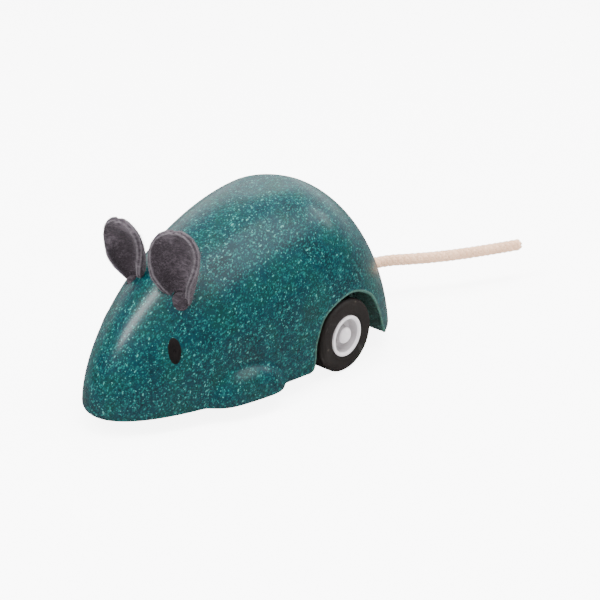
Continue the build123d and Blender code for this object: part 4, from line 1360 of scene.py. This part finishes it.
class MOUSE_OT_works(bpy.types.Operator):
    """Give the motor, axle, roller and screws their finishes"""

    bl_idname = "mouse.works"
    bl_label = "Motor and roller"

    def execute(self, context):
        black = plastic_finish("case_plastic", (0.035, 0.035, 0.038), 0.5)
        cream = plastic_finish("gear_plastic", (0.72, 0.69, 0.60), 0.4)
        dark = plastic_finish("roller_plastic", (0.05, 0.05, 0.055), 0.45)
        steel = metal_finish("drawn_steel", (0.56, 0.56, 0.57), 0.3)
        blue = metal_finish("blued_strip", (0.18, 0.20, 0.27), 0.28, (1.0, 0.05, 1.0))
        brass = metal_finish("turned_brass", (0.72, 0.50, 0.20), 0.3)
        finishes = {
            "motor_case": black, "motor_cover": black, "front_roller": dark,
            "spring_gear": cream, "intermediate_gear": cream, "axle_pinion": cream,
            "mainspring": blue, "left_bush": brass, "right_bush": brass,
            "spring_arbor": steel, "intermediate_pin": steel, "drive_axle": steel, "case_screws": steel,
            "motor_screws": steel, "roller_bracket": steel, "roller_pin": steel, "bracket_screws": steel,
        }
        for name, finish in finishes.items():
            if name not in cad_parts:
                raise RuntimeError(f"the frame has no piece named {name}")
            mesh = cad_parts[name].data
            if not mesh.materials:
                mesh.materials.append(finish)
            for index in range(len(mesh.materials)):
                mesh.materials[index] = finish
        return {"FINISHED"}


# ------------------------------------------------------------------ stage


FLOOR = 6.0
BEHIND = (0.68, 0.60, 0.10)


def area_light(name, place, target, size, watts, mirrored=True):
    lamp = bpy.data.lights.new(name, "AREA")
    lamp.shape = "RECTANGLE"
    lamp.size, lamp.size_y = size
    lamp.energy = watts
    obj = bpy.data.objects.new(name, lamp)
    obj.location = place
    obj.rotation_euler = (Vector(target) - Vector(place)).to_track_quat("-Z", "Y").to_euler()
    obj.visible_glossy = mirrored
    bpy.context.scene.collection.objects.link(obj)


class MOUSE_OT_stage(bpy.types.Operator):
    """Set the floor, the lights and the camera"""

    bl_idname = "mouse.stage"
    bl_label = "Stage"

    def execute(self, context):
        settings = context.scene.mouse_stage
        mat, tree, shader = material("studio_floor")
        where = object_coordinates(tree)
        grain = noise(tree, where, 20.0, 2.0)
        pale = ramp(tree, grain, ((0.3, (0.80, 0.80, 0.80)), (0.7, (0.82, 0.82, 0.82))))
        ray = tree.nodes.new("ShaderNodeLightPath").outputs
        tree.links.new(mix(tree, ray["Is Glossy Ray"], pale, (0.10, 0.10, 0.10)), shader.inputs["Base Color"])
        shader.inputs["Roughness"].default_value = 0.9
        shader.inputs["Specular IOR Level"].default_value = 0.1
        glow = mix(tree, ray["Is Camera Ray"], (0.0, 0.0, 0.0), (1.0, 1.0, 1.0))
        tree.links.new(glow, shader.inputs["Emission Color"])
        shader.inputs["Emission Strength"].default_value = 6.2
        corners = [(-FLOOR, -FLOOR, 0), (FLOOR, -FLOOR, 0), (FLOOR, FLOOR, 0), (-FLOOR, FLOOR, 0)]
        new_piece("floor", corners, [(0, 1, 2, 3)], None, mat)
        world = bpy.data.worlds.new("studio")
        world.use_nodes = True
        sky = world.node_tree
        heading = sky.nodes.new("ShaderNodeTexCoord").outputs["Generated"]
        dot = node(sky, "ShaderNodeVectorMath", {"operation": "DOT_PRODUCT"}, _0=heading, _1=BEHIND)
        behind = dot.outputs["Value"]
        seen = remap(sky, behind, 0.25, 0.95, 0.05, 1.9)
        glossy = sky.nodes.new("ShaderNodeLightPath").outputs["Is Glossy Ray"]
        level = mix(sky, glossy, (1.0, 1.0, 1.0), seen)
        sky.links.new(level, sky.nodes["Background"].inputs[0])
        context.scene.world = world
        middle = (0.0, 0.0, 0.02)
        area_light("top_box", (0.12, -0.02, 0.80), middle, (0.6, 0.6), 12.5, mirrored=False)
        area_light("sheen_box", (0.10, -0.36, 0.70), middle, (0.6, 0.6), 4.0)
        area_light("nose_strip", (-0.46, 0.16, 0.68), middle, (0.16, 0.50), 8.0)
        area_light("rear_box", (0.62, -0.24, 0.50), middle, (0.30, 0.30), 1.8)
        camera_data = bpy.data.cameras.new("camera")
        camera_data.lens = settings.lens
        camera_data.sensor_width = 36.0
        camera_data.clip_start = 0.01
        camera = bpy.data.objects.new("camera", camera_data)
        back = Vector(
            (
                sin(settings.azimuth) * cos(settings.elevation),
                -cos(settings.azimuth) * cos(settings.elevation),
                sin(settings.elevation),
            )
        )
        camera.location = Vector(settings.target) + back * settings.distance
        camera.rotation_euler = back.to_track_quat("Z", "Y").to_euler()
        context.scene.collection.objects.link(camera)
        context.scene.camera = camera
        return {"FINISHED"}


class MOUSE_PT_panel(bpy.types.Panel):
    bl_label = "Clockwork Mouse"
    bl_idname = "MOUSE_PT_panel"
    bl_space_type = "VIEW_3D"
    bl_region_type = "UI"
    bl_category = "Mouse"

    def draw(self, context):
        layout = self.layout
        for operator in OPERATORS:
            layout.operator(operator.bl_idname)
        for group in GROUPS:
            box = layout.box()
            settings = getattr(context.scene, GROUPS[group])
            for name in group.__annotations__:
                box.prop(settings, name)


OPERATORS = (
    MOUSE_OT_stage,
    MOUSE_OT_tail,
    MOUSE_OT_body,
    MOUSE_OT_eyes,
    MOUSE_OT_ears,
    MOUSE_OT_wheels,
    MOUSE_OT_works,
)
GROUPS = {
    MOUSE_PG_body: "mouse_body",
    MOUSE_PG_ears: "mouse_ears",
    MOUSE_PG_tail: "mouse_tail",
    MOUSE_PG_wheels: "mouse_wheels",
    MOUSE_PG_stage: "mouse_stage",
}


def register():
    for group, name in GROUPS.items():
        bpy.utils.register_class(group)
        setattr(bpy.types.Scene, name, PointerProperty(type=group))
    for cls in (*OPERATORS, MOUSE_PT_panel):
        bpy.utils.register_class(cls)


def unregister():
    for cls in (MOUSE_PT_panel, *reversed(OPERATORS)):
        bpy.utils.unregister_class(cls)
    for group, name in GROUPS.items():
        delattr(bpy.types.Scene, name)
        bpy.utils.unregister_class(group)


def main():
    register()
    make_groups()
    for operator in OPERATORS:
        category, name = operator.bl_idname.split(".")
        getattr(getattr(bpy.ops, category), name)()


if __name__ == "__main__":
    main()
